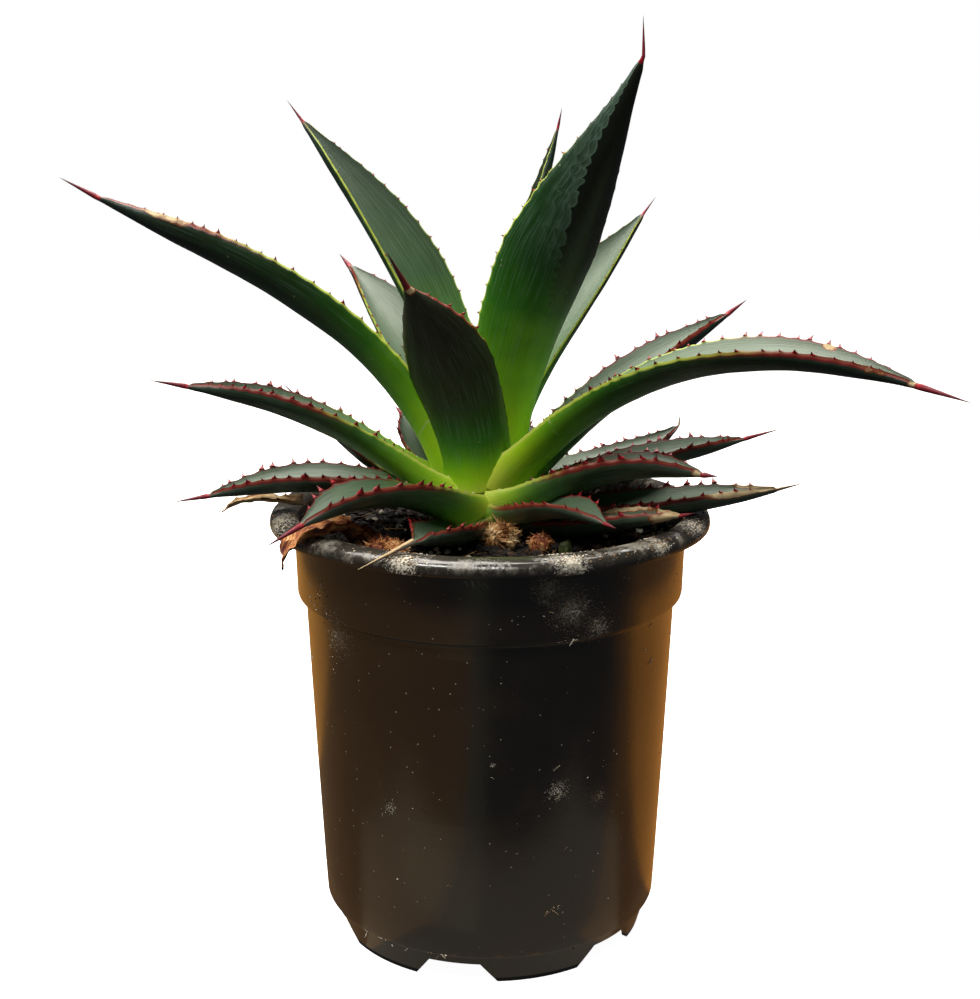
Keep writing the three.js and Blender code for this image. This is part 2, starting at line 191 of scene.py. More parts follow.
# Painted shade: where the shade measure is under 1 the skin is darkened towards a dark brown, and the wax streaks
# on the rib crests fade with it.
dark = add_node(tree, "ShaderNodeMath", {0: 1.0, 1: reads["shade"]}, operation="SUBTRACT")
skin = add_node(tree, "ShaderNodeMix", {0: dark.outputs[0], 6: waxed.outputs[2], 7: linear("#241a08")},
                data_type="RGBA")
print("green and wax:", len(tree.nodes), "nodes")

# %% [markdown]
# ## Ribs of the skin
#
# Fibres run the length of the blade under the skin and raise it in ribs. A noise that is squeezed
# across the blade and stretched along it draws them: 48 lanes from the middle to each margin, so one
# is about 0.3 mm wide. Real ribs are finer, but finer ones would not show. Wax stays on their crests.

# %% Leaf skin: ribs
RIB_LANES = 48.0
RIB_LENGTHS = 7.0
rib_place = add_node(tree, "ShaderNodeCombineXYZ", {
    0: add_node(tree, "ShaderNodeMath", {0: reads["across"], 1: RIB_LANES}, operation="MULTIPLY").outputs[0],
    1: add_node(tree, "ShaderNodeMath", {0: reads["along"], 1: RIB_LENGTHS}, operation="MULTIPLY").outputs[0],
    2: reads["bloom"],
})
ribs = add_node(tree, "ShaderNodeTexNoise", {"Vector": rib_place.outputs[0], "Scale": 1.0, "Detail": 4.0})
rib_shade = add_node(tree, "ShaderNodeMapRange", {0: ribs.outputs["Fac"], 1: 0.3, 2: 0.7, 3: 0.68, 4: 1.36})
rib_share = add_node(tree, "ShaderNodeMapRange", {0: reads["along"], 1: 0.1, 2: 0.4, 3: 0.35, 4: 1.0})
ribbed = add_node(tree, "ShaderNodeMix", {0: rib_share.outputs[0], 6: skin.outputs[2], 7: rib_shade.outputs[0]},
                  data_type="RGBA", blend_type="MULTIPLY")

crest = add_node(tree, "ShaderNodeMapRange", {0: ribs.outputs["Fac"], 1: 0.5, 2: 0.66, 3: 0.0, 4: 0.55})
streak = add_node(tree, "ShaderNodeMath", {0: crest.outputs[0], 1: rib_share.outputs[0]}, operation="MULTIPLY")
streaked = add_node(tree, "ShaderNodeMath", {0: streak.outputs[0], 1: reads["shade"]}, operation="MULTIPLY")
ribbed = add_node(tree, "ShaderNodeMix", {0: streaked.outputs[0], 6: ribbed.outputs[2], 7: linear("#587262")},
                  data_type="RGBA")
print("with ribs:", len(tree.nodes), "nodes")

# %% [markdown]
# ## The bud print
#
# Where a neighbour's toothed margin pressed on the blade in the bud, the wax ends in a chain of round
# scales. One side of the chain stays waxy and the other goes nearly black: partly skin rubbed bare
# of wax, partly painted shade. The chain is the absolute value of a sine along the blade, laid
# slantwise over it. Two fainter chains lie beside the first.

# %% Leaf skin: bud print
PRINT_SLOPE = 1.0
PRINT_CHAINS = ((0.0, 0.0, 88.0, 0.75), (0.17, 1.1, 76.0, 0.4), (0.36, 0.6, 66.0, 0.3))


def print_chain(offset, phase, count):
    """How far across a point lies from one chain of scales, as a share of the half width."""
    stray = add_node(tree, "ShaderNodeMath", {0: cloud.outputs["Fac"], 1: 16.0, 2: phase},
                     operation="MULTIPLY_ADD")
    step = add_node(tree, "ShaderNodeMath", {0: reads["along"], 1: count, 2: stray.outputs[0]},
                    operation="MULTIPLY_ADD")
    arch = add_node(tree, "ShaderNodeMath", {
        0: add_node(tree, "ShaderNodeMath", {0: step.outputs[0]}, operation="SINE").outputs[0],
    }, operation="ABSOLUTE")
    wobble = add_node(tree, "ShaderNodeMath", {0: mottle.outputs["Fac"], 1: 0.14, 2: offset - 0.07},
                      operation="MULTIPLY_ADD")
    line = add_node(tree, "ShaderNodeMath", {0: arch.outputs[0], 1: -0.1, 2: wobble.outputs[0]},
                    operation="MULTIPLY_ADD")
    slope = add_node(tree, "ShaderNodeMath", {0: reads["along"], 1: PRINT_SLOPE, 2: line.outputs[0]},
                     operation="MULTIPLY_ADD")
    base = add_node(tree, "ShaderNodeMath", {0: slope.outputs[0], 1: reads["print"]}, operation="ADD")
    return add_node(tree, "ShaderNodeMath", {0: reads["across"], 1: base.outputs[0]}, operation="SUBTRACT")


printed = ribbed
band = add_node(tree, "ShaderNodeMapRange", {0: reads["along"], 1: 0.42, 2: 0.58, 3: 0.0, 4: 1.0})
amounts = []
for index, (offset, phase, count, strength) in enumerate(PRINT_CHAINS):
    gap = print_chain(offset, phase, count)
    if index == 0:
        # Past the first chain the blade goes nearly black: partly skin rubbed bare of wax, partly painted shade.
        past = add_node(tree, "ShaderNodeMapRange", {0: gap.outputs[0], 1: -0.04, 2: 0.0, 3: 0.85, 4: 0.0})
        has_print = add_node(tree, "ShaderNodeMapRange", {0: reads["along"], 1: 0.22, 2: 0.5, 3: 0.0, 4: 1.0})
        rubbed_and_painted_shade = add_node(tree, "ShaderNodeMath", {0: past.outputs[0], 1: has_print.outputs[0]},
                          operation="MULTIPLY")
        printed = add_node(tree, "ShaderNodeMix", {
            0: rubbed_and_painted_shade.outputs[0], 6: printed.outputs[2], 7: linear("#16150b"),
        }, data_type="RGBA")
    rim = add_node(tree, "ShaderNodeMapRange", {
        0: add_node(tree, "ShaderNodeMath", {0: gap.outputs[0]}, operation="ABSOLUTE").outputs[0],
        1: 0.01, 2: 0.04, 3: strength, 4: 0.0})
    inside = add_node(tree, "ShaderNodeMapRange", {
        0: gap.outputs[0], 1: 0.01, 2: 0.2, 3: 0.6 * strength, 4: 0.0})
    cut = add_node(tree, "ShaderNodeMapRange", {0: gap.outputs[0], 1: -0.01, 2: 0.01, 3: 0.0, 4: 1.0})
    waxy = add_node(tree, "ShaderNodeMath", {0: inside.outputs[0], 1: cut.outputs[0]}, operation="MULTIPLY")
    both = add_node(tree, "ShaderNodeMath", {0: rim.outputs[0], 1: waxy.outputs[0]}, operation="MAXIMUM")
    amount = add_node(tree, "ShaderNodeMath", {0: both.outputs[0], 1: band.outputs[0]}, operation="MULTIPLY")
    printed = add_node(tree, "ShaderNodeMix", {0: amount.outputs[0], 6: printed.outputs[2], 7: linear("#6f8a76")},
                       data_type="RGBA")
    amounts.append(amount)
print("with the bud print:", len(tree.nodes), "nodes")

# %% [markdown]
# ## Scars, margins and dry patches
#
# A neighbour that rubs leaves a thin corky line, which is drawn by its distance in millimetres. The
# margin is a hard horny edge: yellow-green at first, brightened by a painted glow of light through
# it, and maroon where the leaf is red. Dry skin spreads from the tip in ragged patches,
# orange-brown at their edge and straw inside. Each is a mix over the colour so far, and noise
# makes its border uneven.

# %% Leaf skin: scars, margins and dry patches
scar_gap = add_node(tree, "ShaderNodeMath", {
    0: add_node(tree, "ShaderNodeMath", {0: mottle.outputs["Fac"], 1: 1.2, 2: reads["scar"]},
                operation="MULTIPLY_ADD").outputs[0],
    1: 0.6,
}, operation="SUBTRACT")
scar_line = add_node(tree, "ShaderNodeMapRange", {
    0: add_node(tree, "ShaderNodeMath", {0: scar_gap.outputs[0]}, operation="ABSOLUTE").outputs[0],
    1: 0.15, 2: 0.5, 3: 0.75, 4: 0.0,
})
scarred = add_node(tree, "ShaderNodeMix", {0: scar_line.outputs[0], 6: printed.outputs[2], 7: linear("#b9c58c")},
                   data_type="RGBA")

beside = add_node(tree, "ShaderNodeMath", {0: reads["across"]}, operation="ABSOLUTE")
edge = add_node(tree, "ShaderNodeMapRange", {0: beside.outputs[0], 1: 0.968, 2: 0.99, 3: 0.0, 4: 0.95})
edge_wide = add_node(tree, "ShaderNodeMapRange", {0: beside.outputs[0], 1: 0.92, 2: 0.965, 3: 0.0, 4: 0.95})
edge_red = add_node(tree, "ShaderNodeMath", {0: edge_wide.outputs[0], 1: reads["red"]}, operation="MULTIPLY")
# The yellow-green margin line is partly the horny edge's own colour and partly a painted glow of light through
# the edge.
margin_line_and_glow = add_node(tree, "ShaderNodeMix", {0: edge.outputs[0], 6: scarred.outputs[2], 7: linear("#c6d458")},
                 data_type="RGBA")
reddened = add_node(tree, "ShaderNodeMix", {0: edge_red.outputs[0], 6: margin_line_and_glow.outputs[2], 7: linear("#7a1420")},
                    data_type="RGBA")

dry_ragged = add_node(tree, "ShaderNodeMath", {0: mottle.outputs["Fac"], 1: 0.9, 2: reads["dry"]},
                      operation="MULTIPLY_ADD")
dry_edge = add_node(tree, "ShaderNodeMapRange", {0: dry_ragged.outputs[0], 1: 0.82, 2: 0.92, 3: 0.0, 4: 1.0})
dry_core = add_node(tree, "ShaderNodeMapRange", {0: dry_ragged.outputs[0], 1: 0.95, 2: 1.15, 3: 0.0, 4: 1.0})
browned = add_node(tree, "ShaderNodeMix", {0: dry_edge.outputs[0], 6: reddened.outputs[2], 7: linear("#7a3d1c")},
                   data_type="RGBA")
strawed = add_node(tree, "ShaderNodeMix", {0: dry_core.outputs[0], 6: browned.outputs[2], 7: linear("#cdb48a")},
                   data_type="RGBA")
print("with scars, margins and dry patches:", len(tree.nodes), "nodes")

# %% [markdown]
# ## Horn, grit and shine
#
# Teeth and the end spine are horn: pale at a young tooth's foot, dark red when old. A few specks of
# pale grit lie on every leaf. Wax scatters the shine, so the bloomed upper face is rougher than the
# clean outer one. The ribs and a fine crinkle go into the bump, but not on horn, which is smooth.

# %% Leaf skin: horn, grit and shine
young_horn = add_node(tree, "ShaderNodeValToRGB", {"Fac": reads["horn"]})
set_ramp(young_horn, [(0.0, "#a9c060"), (0.25, "#eceac4"), (0.7, "#eadfc4"), (1.0, "#8a5a44")])
old_horn = add_node(tree, "ShaderNodeValToRGB", {"Fac": reads["horn"]})
set_ramp(old_horn, [(0.0, "#7a1420"), (0.3, "#aa1c26"), (0.55, "#8a1c2a"), (0.78, "#74202e"), (1.0, "#4a1c22")])
horn_age = add_node(tree, "ShaderNodeMapRange", {0: reads["red"], 1: 0.1, 2: 0.5, 3: 0.0, 4: 1.0})
horn = add_node(tree, "ShaderNodeMix", {0: horn_age.outputs[0], 6: young_horn.outputs[0], 7: old_horn.outputs[0]},
                data_type="RGBA")
is_horn = add_node(tree, "ShaderNodeMapRange", {0: reads["horn"], 1: 0.0, 2: 0.12, 3: 0.0, 4: 1.0})
horned = add_node(tree, "ShaderNodeMix", {0: is_horn.outputs[0], 6: strawed.outputs[2], 7: horn.outputs[2]},
                  data_type="RGBA")

# Cells about 4 mm wide, and in one of fourteen a speck about half a millimetre across.
grit_cells = add_node(tree, "ShaderNodeTexVoronoi", {"Vector": here, "Scale": per_metre(3.846)})
grit_pick = add_node(tree, "ShaderNodeSeparateColor", {0: grit_cells.outputs["Color"]})
grit_some = add_node(tree, "ShaderNodeMath", {0: grit_pick.outputs[0], 1: 0.93}, operation="GREATER_THAN")
grit_size = add_node(tree, "ShaderNodeMapRange", {
    0: grit_cells.outputs["Distance"], 1: 0.05, 2: 0.12, 3: 0.55, 4: 0.0})
grit = add_node(tree, "ShaderNodeMath", {0: grit_some.outputs[0], 1: grit_size.outputs[0]}, operation="MULTIPLY")
dusted = add_node(tree, "ShaderNodeMix", {0: grit.outputs[0], 6: horned.outputs[2], 7: linear("#b5b3a4")},
                  data_type="RGBA")
tree.links.new(dusted.outputs[2], shader.inputs["Base Color"])

wax = add_node(tree, "ShaderNodeMapRange", {0: reads["bloom"], 1: 0.0, 2: 1.0, 3: 0.34, 4: 0.5})
gloss = add_node(tree, "ShaderNodeMath", {0: wax.outputs[0], 1: drift.outputs[0]}, operation="ADD")
gloss_dry = add_node(tree, "ShaderNodeMath", {0: dry_core.outputs[0], 1: 0.3, 2: gloss.outputs[0]},
                     operation="MULTIPLY_ADD")
tree.links.new(gloss_dry.outputs[0], shader.inputs["Roughness"])
rib_height = add_node(tree, "ShaderNodeMath", {0: ribs.outputs["Fac"], 1: 0.5, 2: amounts[0].outputs[0]},
                      operation="MULTIPLY_ADD")
rib_strength = add_node(tree, "ShaderNodeMapRange", {0: is_horn.outputs[0], 1: 0.0, 2: 0.5, 3: 0.35, 4: 0.0})
bump = add_node(tree, "ShaderNodeBump", {"Height": rib_height.outputs[0], "Strength": rib_strength.outputs[0],
                                         "Distance": 0.0005})
crinkle = add_node(tree, "ShaderNodeBump", {"Height": mottle.outputs["Fac"], "Strength": 0.12, "Distance": 0.0006,
                                            "Normal": bump.outputs[0]})
tree.links.new(crinkle.outputs[0], shader.inputs["Normal"])
shader.inputs["IOR"].default_value = 1.45
print("leaf material:", len(tree.nodes), "nodes")

# %% [markdown]
# ## Black nursery-pot plastic
#
# The pot is recycled polypropylene, injection moulded and filled with carbon black. Thin walls of
# it let a trace of warm brown through, and it has a soft satin gloss. Handling and watering leave
# lime dust on the lip, fine specks, rubbed scuffs on the band and pale dabs on the wall.

# %% Pot plastic
pot_plastic, tree, shader = new_material("recycled_polypropylene_satin")
here = add_node(tree, "ShaderNodeTexCoord").outputs["Object"]
spot = add_node(tree, "ShaderNodeSeparateXYZ", {0: here})
cloud = add_node(tree, "ShaderNodeTexNoise", {"Vector": here, "Scale": per_metre(33.333),
                                              "Detail": 6.0, "Roughness": 0.6})
fine = add_node(tree, "ShaderNodeTexNoise", {"Vector": here, "Scale": per_metre(1.111),
                                             "Detail": 4.0})
base = add_node(tree, "ShaderNodeValToRGB", {"Fac": cloud.outputs["Fac"]})
set_ramp(base, [(0.3, "#100c0a"), (0.5, "#18110d"), (0.72, "#241810")])

# Specks: cells about 2 mm wide, some with grit about 0.5 mm across. They are denser high on the pot,
# and the clouds gather them in drifts.
speck_cells = add_node(tree, "ShaderNodeTexVoronoi", {"Vector": here, "Scale": per_metre(1.923)})
speck_pick = add_node(tree, "ShaderNodeSeparateColor", {0: speck_cells.outputs["Color"]})
speck_share = add_node(tree, "ShaderNodeMapRange", {0: spot.outputs["Z"], 1: 0.03, 2: 0.165, 3: 0.93, 4: 0.84})
speck_drift = add_node(tree, "ShaderNodeMath", {0: cloud.outputs["Fac"], 1: -0.4, 2: 0.2},
                       operation="MULTIPLY_ADD")
speck_limit = add_node(tree, "ShaderNodeMath", {0: speck_share.outputs[0], 1: speck_drift.outputs[0]},
                       operation="ADD")
speck_some = add_node(tree, "ShaderNodeMath", {0: speck_pick.outputs[0], 1: speck_limit.outputs[0]},
                      operation="GREATER_THAN")
speck_size = add_node(tree, "ShaderNodeMapRange", {0: speck_cells.outputs["Distance"], 1: 0.08, 2: 0.18,
                                                   3: 0.6, 4: 0.0})
specks = add_node(tree, "ShaderNodeMath", {0: speck_some.outputs[0], 1: speck_size.outputs[0]},
                  operation="MULTIPLY")

# Dust on the lip, in drifts about 17 mm wide.
on_lip = add_node(tree, "ShaderNodeMapRange", {0: spot.outputs["Z"], 1: 0.1605, 2: 0.1635, 3: 0.0, 4: 1.0})
drifts = add_node(tree, "ShaderNodeTexNoise", {"Vector": here, "Scale": per_metre(16.667),
                                               "Detail": 8.0, "Roughness": 0.75})
drift_mask = add_node(tree, "ShaderNodeMapRange", {0: drifts.outputs["Fac"], 1: 0.5, 2: 0.68, 3: 0.05, 4: 0.7})
lip_dust = add_node(tree, "ShaderNodeMath", {0: on_lip.outputs[0], 1: drift_mask.outputs[0]},
                    operation="MULTIPLY")
dust = add_node(tree, "ShaderNodeMath", {0: specks.outputs[0], 1: lip_dust.outputs[0]}, operation="MAXIMUM")
print("plastic, specks and lip dust:", len(tree.nodes), "nodes")

# %% [markdown]
# ## Marks at known places
#
# Lime splashes, thumbed dust and dried drips each have a place of their own: a dust cluster on the
# band, dabs low on the wall and crusts along the lip. A mark fades with the distance from its middle,
# and a torn noise eats its border away. Each row gives the middle and the reach in metres, the
# strength, the noise's repeats per metre (about 1 mm each) and how closed the mark is.

# %% Pot plastic: marks
MARKS = [
    ((0.0277, -0.0675, 0.1455), 0.026, 0.95, 1900.0, 0.14),
    ((0.0194, -0.0706, 0.1526), 0.018, 0.95, 1600.0, 0.15),
    ((0.0369, -0.0625, 0.1370), 0.018, 0.95, 1600.0, 0.14),
    ((0.0239, -0.0627, 0.0765), 0.0130, 0.95, 900.0, 0.17),
    ((0.0385, -0.0547, 0.0710), 0.0110, 0.55, 1100.0, 0.14),
    ((0.0010, -0.0676, 0.0885), 0.0025, 0.90, 900.0, 0.26),
    ((-0.0353, -0.0567, 0.0674), 0.0070, 0.95, 1000.0, 0.17),
    ((0.0270, -0.0769, 0.1640), 0.0150, 1.0, 800.0, 0.26),
    ((0.0587, -0.0569, 0.1640), 0.0130, 1.0, 800.0, 0.24),
    ((-0.0286, -0.0764, 0.1640), 0.0140, 1.0, 800.0, 0.26),
    ((0.0750, -0.0300, 0.1640), 0.0300, 0.8, 700.0, 0.18),
    ((-0.0760, -0.0250, 0.1640), 0.0320, 0.9, 700.0, 0.2),
    ((-0.0600, -0.0500, 0.1640), 0.0180, 0.8, 700.0, 0.18),
    ((-0.0530, -0.0420, 0.1300), 0.0280, 0.9, 1500.0, 0.12),
]
for middle, size, strength, grain, closed in MARKS:
    reach = add_node(tree, "ShaderNodeVectorMath", {0: here, 1: middle},
                     operation="DISTANCE")
    near = add_node(tree, "ShaderNodeMapRange", {0: reach.outputs["Value"], 1: 0.0, 2: size, 3: closed, 4: -0.25})
    torn = add_node(tree, "ShaderNodeTexNoise", {"Vector": here, "Scale": grain, "Detail": 6.0,
                                                 "Roughness": 0.7, "Distortion": 1.5})
    mask = add_node(tree, "ShaderNodeMath", {0: near.outputs[0], 1: torn.outputs["Fac"]}, operation="ADD")
    cut = add_node(tree, "ShaderNodeMapRange", {0: mask.outputs[0], 1: 0.6, 2: 0.68, 3: 0.0, 4: strength})
    dust = add_node(tree, "ShaderNodeMath", {0: dust.outputs[0], 1: cut.outputs[0]}, operation="MAXIMUM")
dusty = add_node(tree, "ShaderNodeMix", {0: dust.outputs[0], 6: base.outputs[0], 7: linear("#d2cab8")},
                 data_type="RGBA")
print("with", len(MARKS), "marks:", len(tree.nodes), "nodes")

# %% Pot plastic: groove and shine
GROOVE_Z = 0.0124  # metres: brown fibres are caught here, over the foot
in_groove = add_node(tree, "ShaderNodeMapRange", {
    0: add_node(tree, "ShaderNodeMath", {
        0: add_node(tree, "ShaderNodeMath", {0: spot.outputs["Z"], 1: GROOVE_Z}, operation="SUBTRACT").outputs[0],
    }, operation="ABSOLUTE").outputs[0],
    1: 0.0004, 2: 0.0016, 3: 0.45, 4: 0.0,
})
caught = add_node(tree, "ShaderNodeTexNoise", {"Vector": here, "Scale": per_metre(7.143),
                                               "Detail": 6.0})
caught_some = add_node(tree, "ShaderNodeMapRange", {0: caught.outputs["Fac"], 1: 0.5, 2: 0.62, 3: 0.0, 4: 1.4})
fibre_mask = add_node(tree, "ShaderNodeMath", {0: in_groove.outputs[0], 1: caught_some.outputs[0]},
                      operation="MULTIPLY")
fibred = add_node(tree, "ShaderNodeMix", {0: fibre_mask.outputs[0], 6: dusty.outputs[2], 7: linear("#8a6236")},
                  data_type="RGBA")
tree.links.new(fibred.outputs[2], shader.inputs["Base Color"])
satin = add_node(tree, "ShaderNodeMapRange", {0: cloud.outputs["Fac"], 1: 0.3, 2: 0.7, 3: 0.2, 4: 0.3})
lip_shine = add_node(tree, "ShaderNodeMath", {0: on_lip.outputs[0], 1: -0.09, 2: satin.outputs[0]},
                     operation="MULTIPLY_ADD")
dulled = add_node(tree, "ShaderNodeMath", {0: dust.outputs[0], 1: 0.5, 2: lip_shine.outputs[0]},
                  operation="MULTIPLY_ADD")
tree.links.new(dulled.outputs[0], shader.inputs["Roughness"])
grain = add_node(tree, "ShaderNodeBump", {"Height": fine.outputs["Fac"], "Strength": 0.08, "Distance": 0.0002})
ripple = add_node(tree, "ShaderNodeBump", {"Height": cloud.outputs["Fac"], "Strength": 0.25, "Distance": 0.0008,
                                           "Normal": grain.outputs[0]})
crust = add_node(tree, "ShaderNodeBump", {"Height": dust.outputs[0], "Strength": 0.5, "Distance": 0.0004,
                                          "Normal": ripple.outputs[0]})
tree.links.new(crust.outputs[0], shader.inputs["Normal"])
shader.inputs["IOR"].default_value = 1.49
shader.inputs["Specular IOR Level"].default_value = 1.0
print("pot material:", len(tree.nodes), "nodes")

# %% [markdown]
# ## Potting mix, bark, dry leaf and stem
#
# The mix is composted bark and peat: nearly black when damp, with brown fibre and white perlite.
# Its crumbs are real geometry, so the material only has to tint each crumb, which it does by a
# colour value that each crumb carries. Dry leaf is straw and rust coloured and papery, with fibres
# that run its length. Bark chips are the same browns, coarser.

# %% Potting mix material
mix_soil, tree, shader = new_material("composted_bark_and_peat")
here = add_node(tree, "ShaderNodeTexCoord").outputs["Object"]
tint = add_node(tree, "ShaderNodeAttribute", attribute_name="tint").outputs["Fac"]
crumb = add_node(tree, "ShaderNodeTexNoise", {"Vector": here, "Scale": per_metre(2.381),
                                              "Detail": 8.0, "Roughness": 0.7})
shade = add_node(tree, "ShaderNodeMath", {0: crumb.outputs["Fac"], 1: 0.28, 2: tint}, operation="MULTIPLY_ADD")
earth = add_node(tree, "ShaderNodeValToRGB", {"Fac": shade.outputs[0]})
set_ramp(earth, [
    (0.0, "#040302"), (0.3, "#0b0705"), (0.5, "#1f130b"),
    (0.66, "#4a301c"), (0.82, "#9a764c"), (0.97, "#e8e0ce"),
])
tree.links.new(earth.outputs[0], shader.inputs["Base Color"])
shader.inputs["Roughness"].default_value = 0.9
rough = add_node(tree, "ShaderNodeBump", {"Height": crumb.outputs["Fac"], "Strength": 0.8, "Distance": 0.0008})
tree.links.new(rough.outputs[0], shader.inputs["Normal"])
print("mix material:", len(tree.nodes), "nodes")

# %% [markdown]
# ## One recipe for everything fibrous
#
# Papery leaf, bark and stem are all bundles of fibres that run the piece's long way, so one function
# makes the five materials. What differs is the colours, how many fibres lie side by side and how
# matt the surface is.

# %% Fibrous materials
def fibrous_material(name, stops, stretch, roughness):
    """Fibres that run along the piece: the noise is stretched along the piece's own long way."""
    material, tree, shader = new_material(name)
    along = add_node(tree, "ShaderNodeAttribute", attribute_name="along").outputs["Fac"]
    across = add_node(tree, "ShaderNodeAttribute", attribute_name="across").outputs["Fac"]
    here = add_node(tree, "ShaderNodeTexCoord").outputs["Object"]
    lane = add_node(tree, "ShaderNodeCombineXYZ", {
        0: add_node(tree, "ShaderNodeMath", {0: across, 1: stretch}, operation="MULTIPLY").outputs[0],
        1: add_node(tree, "ShaderNodeMath", {0: along, 1: 4.0}, operation="MULTIPLY").outputs[0],
    })
    fibres = add_node(tree, "ShaderNodeTexNoise", {"Vector": lane.outputs[0], "Scale": 1.0, "Detail": 6.0})
    blotch = add_node(tree, "ShaderNodeTexNoise", {"Vector": here, "Scale": per_metre(7.692),
                                                   "Detail": 6.0})
    both = add_node(tree, "ShaderNodeMath", {0: fibres.outputs["Fac"], 1: blotch.outputs["Fac"]}, operation="ADD")
    half = add_node(tree, "ShaderNodeMapRange", {0: both.outputs[0], 1: 0.7, 2: 1.3, 3: 0.0, 4: 1.0})
    tone = add_node(tree, "ShaderNodeValToRGB", {"Fac": half.outputs[0]})
    set_ramp(tone, stops)
    tree.links.new(tone.outputs[0], shader.inputs["Base Color"])
    shader.inputs["Roughness"].default_value = roughness
    bump = add_node(tree, "ShaderNodeBump", {"Height": both.outputs[0], "Strength": 0.7, "Distance": 0.0006})
    tree.links.new(bump.outputs[0], shader.inputs["Normal"])
    return material


DRY_STOPS = [(0.0, "#4a2414"), (0.3, "#94602f"), (0.5, "#cfa26a"), (0.75, "#ecd3a4"), (1.0, "#f6ebcf")]
RUST_STOPS = [(0.0, "#2a0f0c"), (0.3, "#5d2418"), (0.5, "#8e4a24"), (0.7, "#c98a4e"), (1.0, "#e8c796")]
BARK_STOPS = [(0.0, "#1a0e08"), (0.3, "#4a2a17"), (0.6, "#8a5a34"), (0.85, "#b98a5a"), (1.0, "#d6b98e")]
STEM_STOPS = [(0.0, "#4a4a1e"), (0.4, "#8c9a3c"), (0.7, "#b3b866"), (1.0, "#cfc890")]
SCRAP_STOPS = [(0.0, "#141a08"), (0.5, "#2f3d14"), (1.0, "#6a7230")]
dry_leaf = fibrous_material("dry_leaf_papery", DRY_STOPS, 14.0, 0.85)
rust_leaf = fibrous_material("rotted_leaf_rusty", RUST_STOPS, 12.0, 0.8)
bark = fibrous_material("pine_bark_chip", BARK_STOPS, 10.0, 0.9)
stem_skin = fibrous_material("stem_with_leaf_scars", STEM_STOPS, 8.0, 0.7)
scrap_skin = fibrous_material("old_leaf_scrap", SCRAP_STOPS, 8.0, 0.6)
print("fibrous materials:", [m.name for m in (dry_leaf, rust_leaf, bark, stem_skin, scrap_skin)])

# %% [markdown]
# ## Helpers for pieces
#
# Operators act on what is selected, and the solids come in selected, so each step starts with
# nothing selected. A finished piece rides on the one body, stands for its solid, gets its material
# and is shaded smooth except at real edges.

# %% Piece helpers
def start_clean():
    """Leaves edit mode and deselects everything."""
    if bpy.context.object and bpy.context.object.mode != "OBJECT":
        bpy.ops.object.mode_set(mode="OBJECT")
    bpy.ops.object.select_all(action="DESELECT")


def select_only(*pieces):
    """Selects these pieces, the last one active."""
    start_clean()
    for piece in pieces:
        piece.select_set(True)
    bpy.context.view_layer.objects.active = pieces[-1]


def set_measure(mesh, name, values):
    """Stores one number per vertex under a name that a material can read."""
    measure = mesh.attributes.get(name) or mesh.attributes.new(name, "FLOAT", "POINT")
    measure.data.foreach_set("value", values)


def new_mesh(name, points, faces, measures):
    """A mesh in metres from points in millimetres, with its measures."""
    mesh = bpy.data.meshes.new(name)
    mesh.from_pydata([tuple(p * MM) for p in points], [], faces)
    mesh.validate()
    mesh.update()
    for measure, values in measures.items():
        set_measure(mesh, measure, values)
    return mesh


def new_piece(mesh):
    """An object that holds the mesh, under the mesh's name."""
    piece = bpy.data.objects.new(mesh.name, mesh)
    bpy.context.scene.collection.objects.link(piece)
    return piece


def on_round(radius, turn, z):
    """A point at a distance from the pot's axis, an angle round it in radians, and a height."""
    return Vector((radius * math.cos(turn), radius * math.sin(turn), z))


def finish_piece(piece, node, material, angle=40):
    """Material, shading, body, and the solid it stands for."""
    piece.data.materials.clear()
    piece.data.materials.append(material)
    select_only(piece)
    bpy.ops.object.shade_smooth_by_angle(angle=math.radians(angle))
    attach(piece, "root")
    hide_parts(node)


def smooth_through(knots, x):
    """A smooth curve through a few (x, y) knots, with no overshoot at a peak."""
    last = len(knots) - 1
    if x <= knots[0][0]:
        return knots[0][1]
    if x >= knots[last][0]:
        return knots[last][1]

    def slope(i):
        return (knots[i + 1][1] - knots[i][1]) / (knots[i + 1][0] - knots[i][0])

    def tangent(i):
        if i == 0:
            return slope(0)
        if i == last:
            return slope(last - 1)
        before, after = slope(i - 1), slope(i)
        return 0.0 if before * after <= 0 else 2 * before * after / (before + after)

    i = next(k for k, knot in enumerate(knots) if knot[0] > x) - 1
    span = knots[i + 1][0] - knots[i][0]
    u = (x - knots[i][0]) / span
    rise = u * u * (3 - 2 * u)
    bend = span * (tangent(i) * u * (1 - u) ** 2 - tangent(i + 1) * u * u * (1 - u))
    return knots[i][1] * (1 - rise) + knots[i + 1][1] * rise + bend


print("piece helpers ready")


# %% [markdown]
# ## The pot
#
# A nursery pot is one thin shell. Its cross-section is the same all round, so the natural way is to
# draw that section once as a chain of points and spin it: the floor, the foot, the tapered wall, the
# step up to the band and the lip that curls over and hangs down as a short skirt. Then six
# wedge-shaped notches are taken out of the foot and six drain holes out of the floor's edge with
# Boolean modifiers.

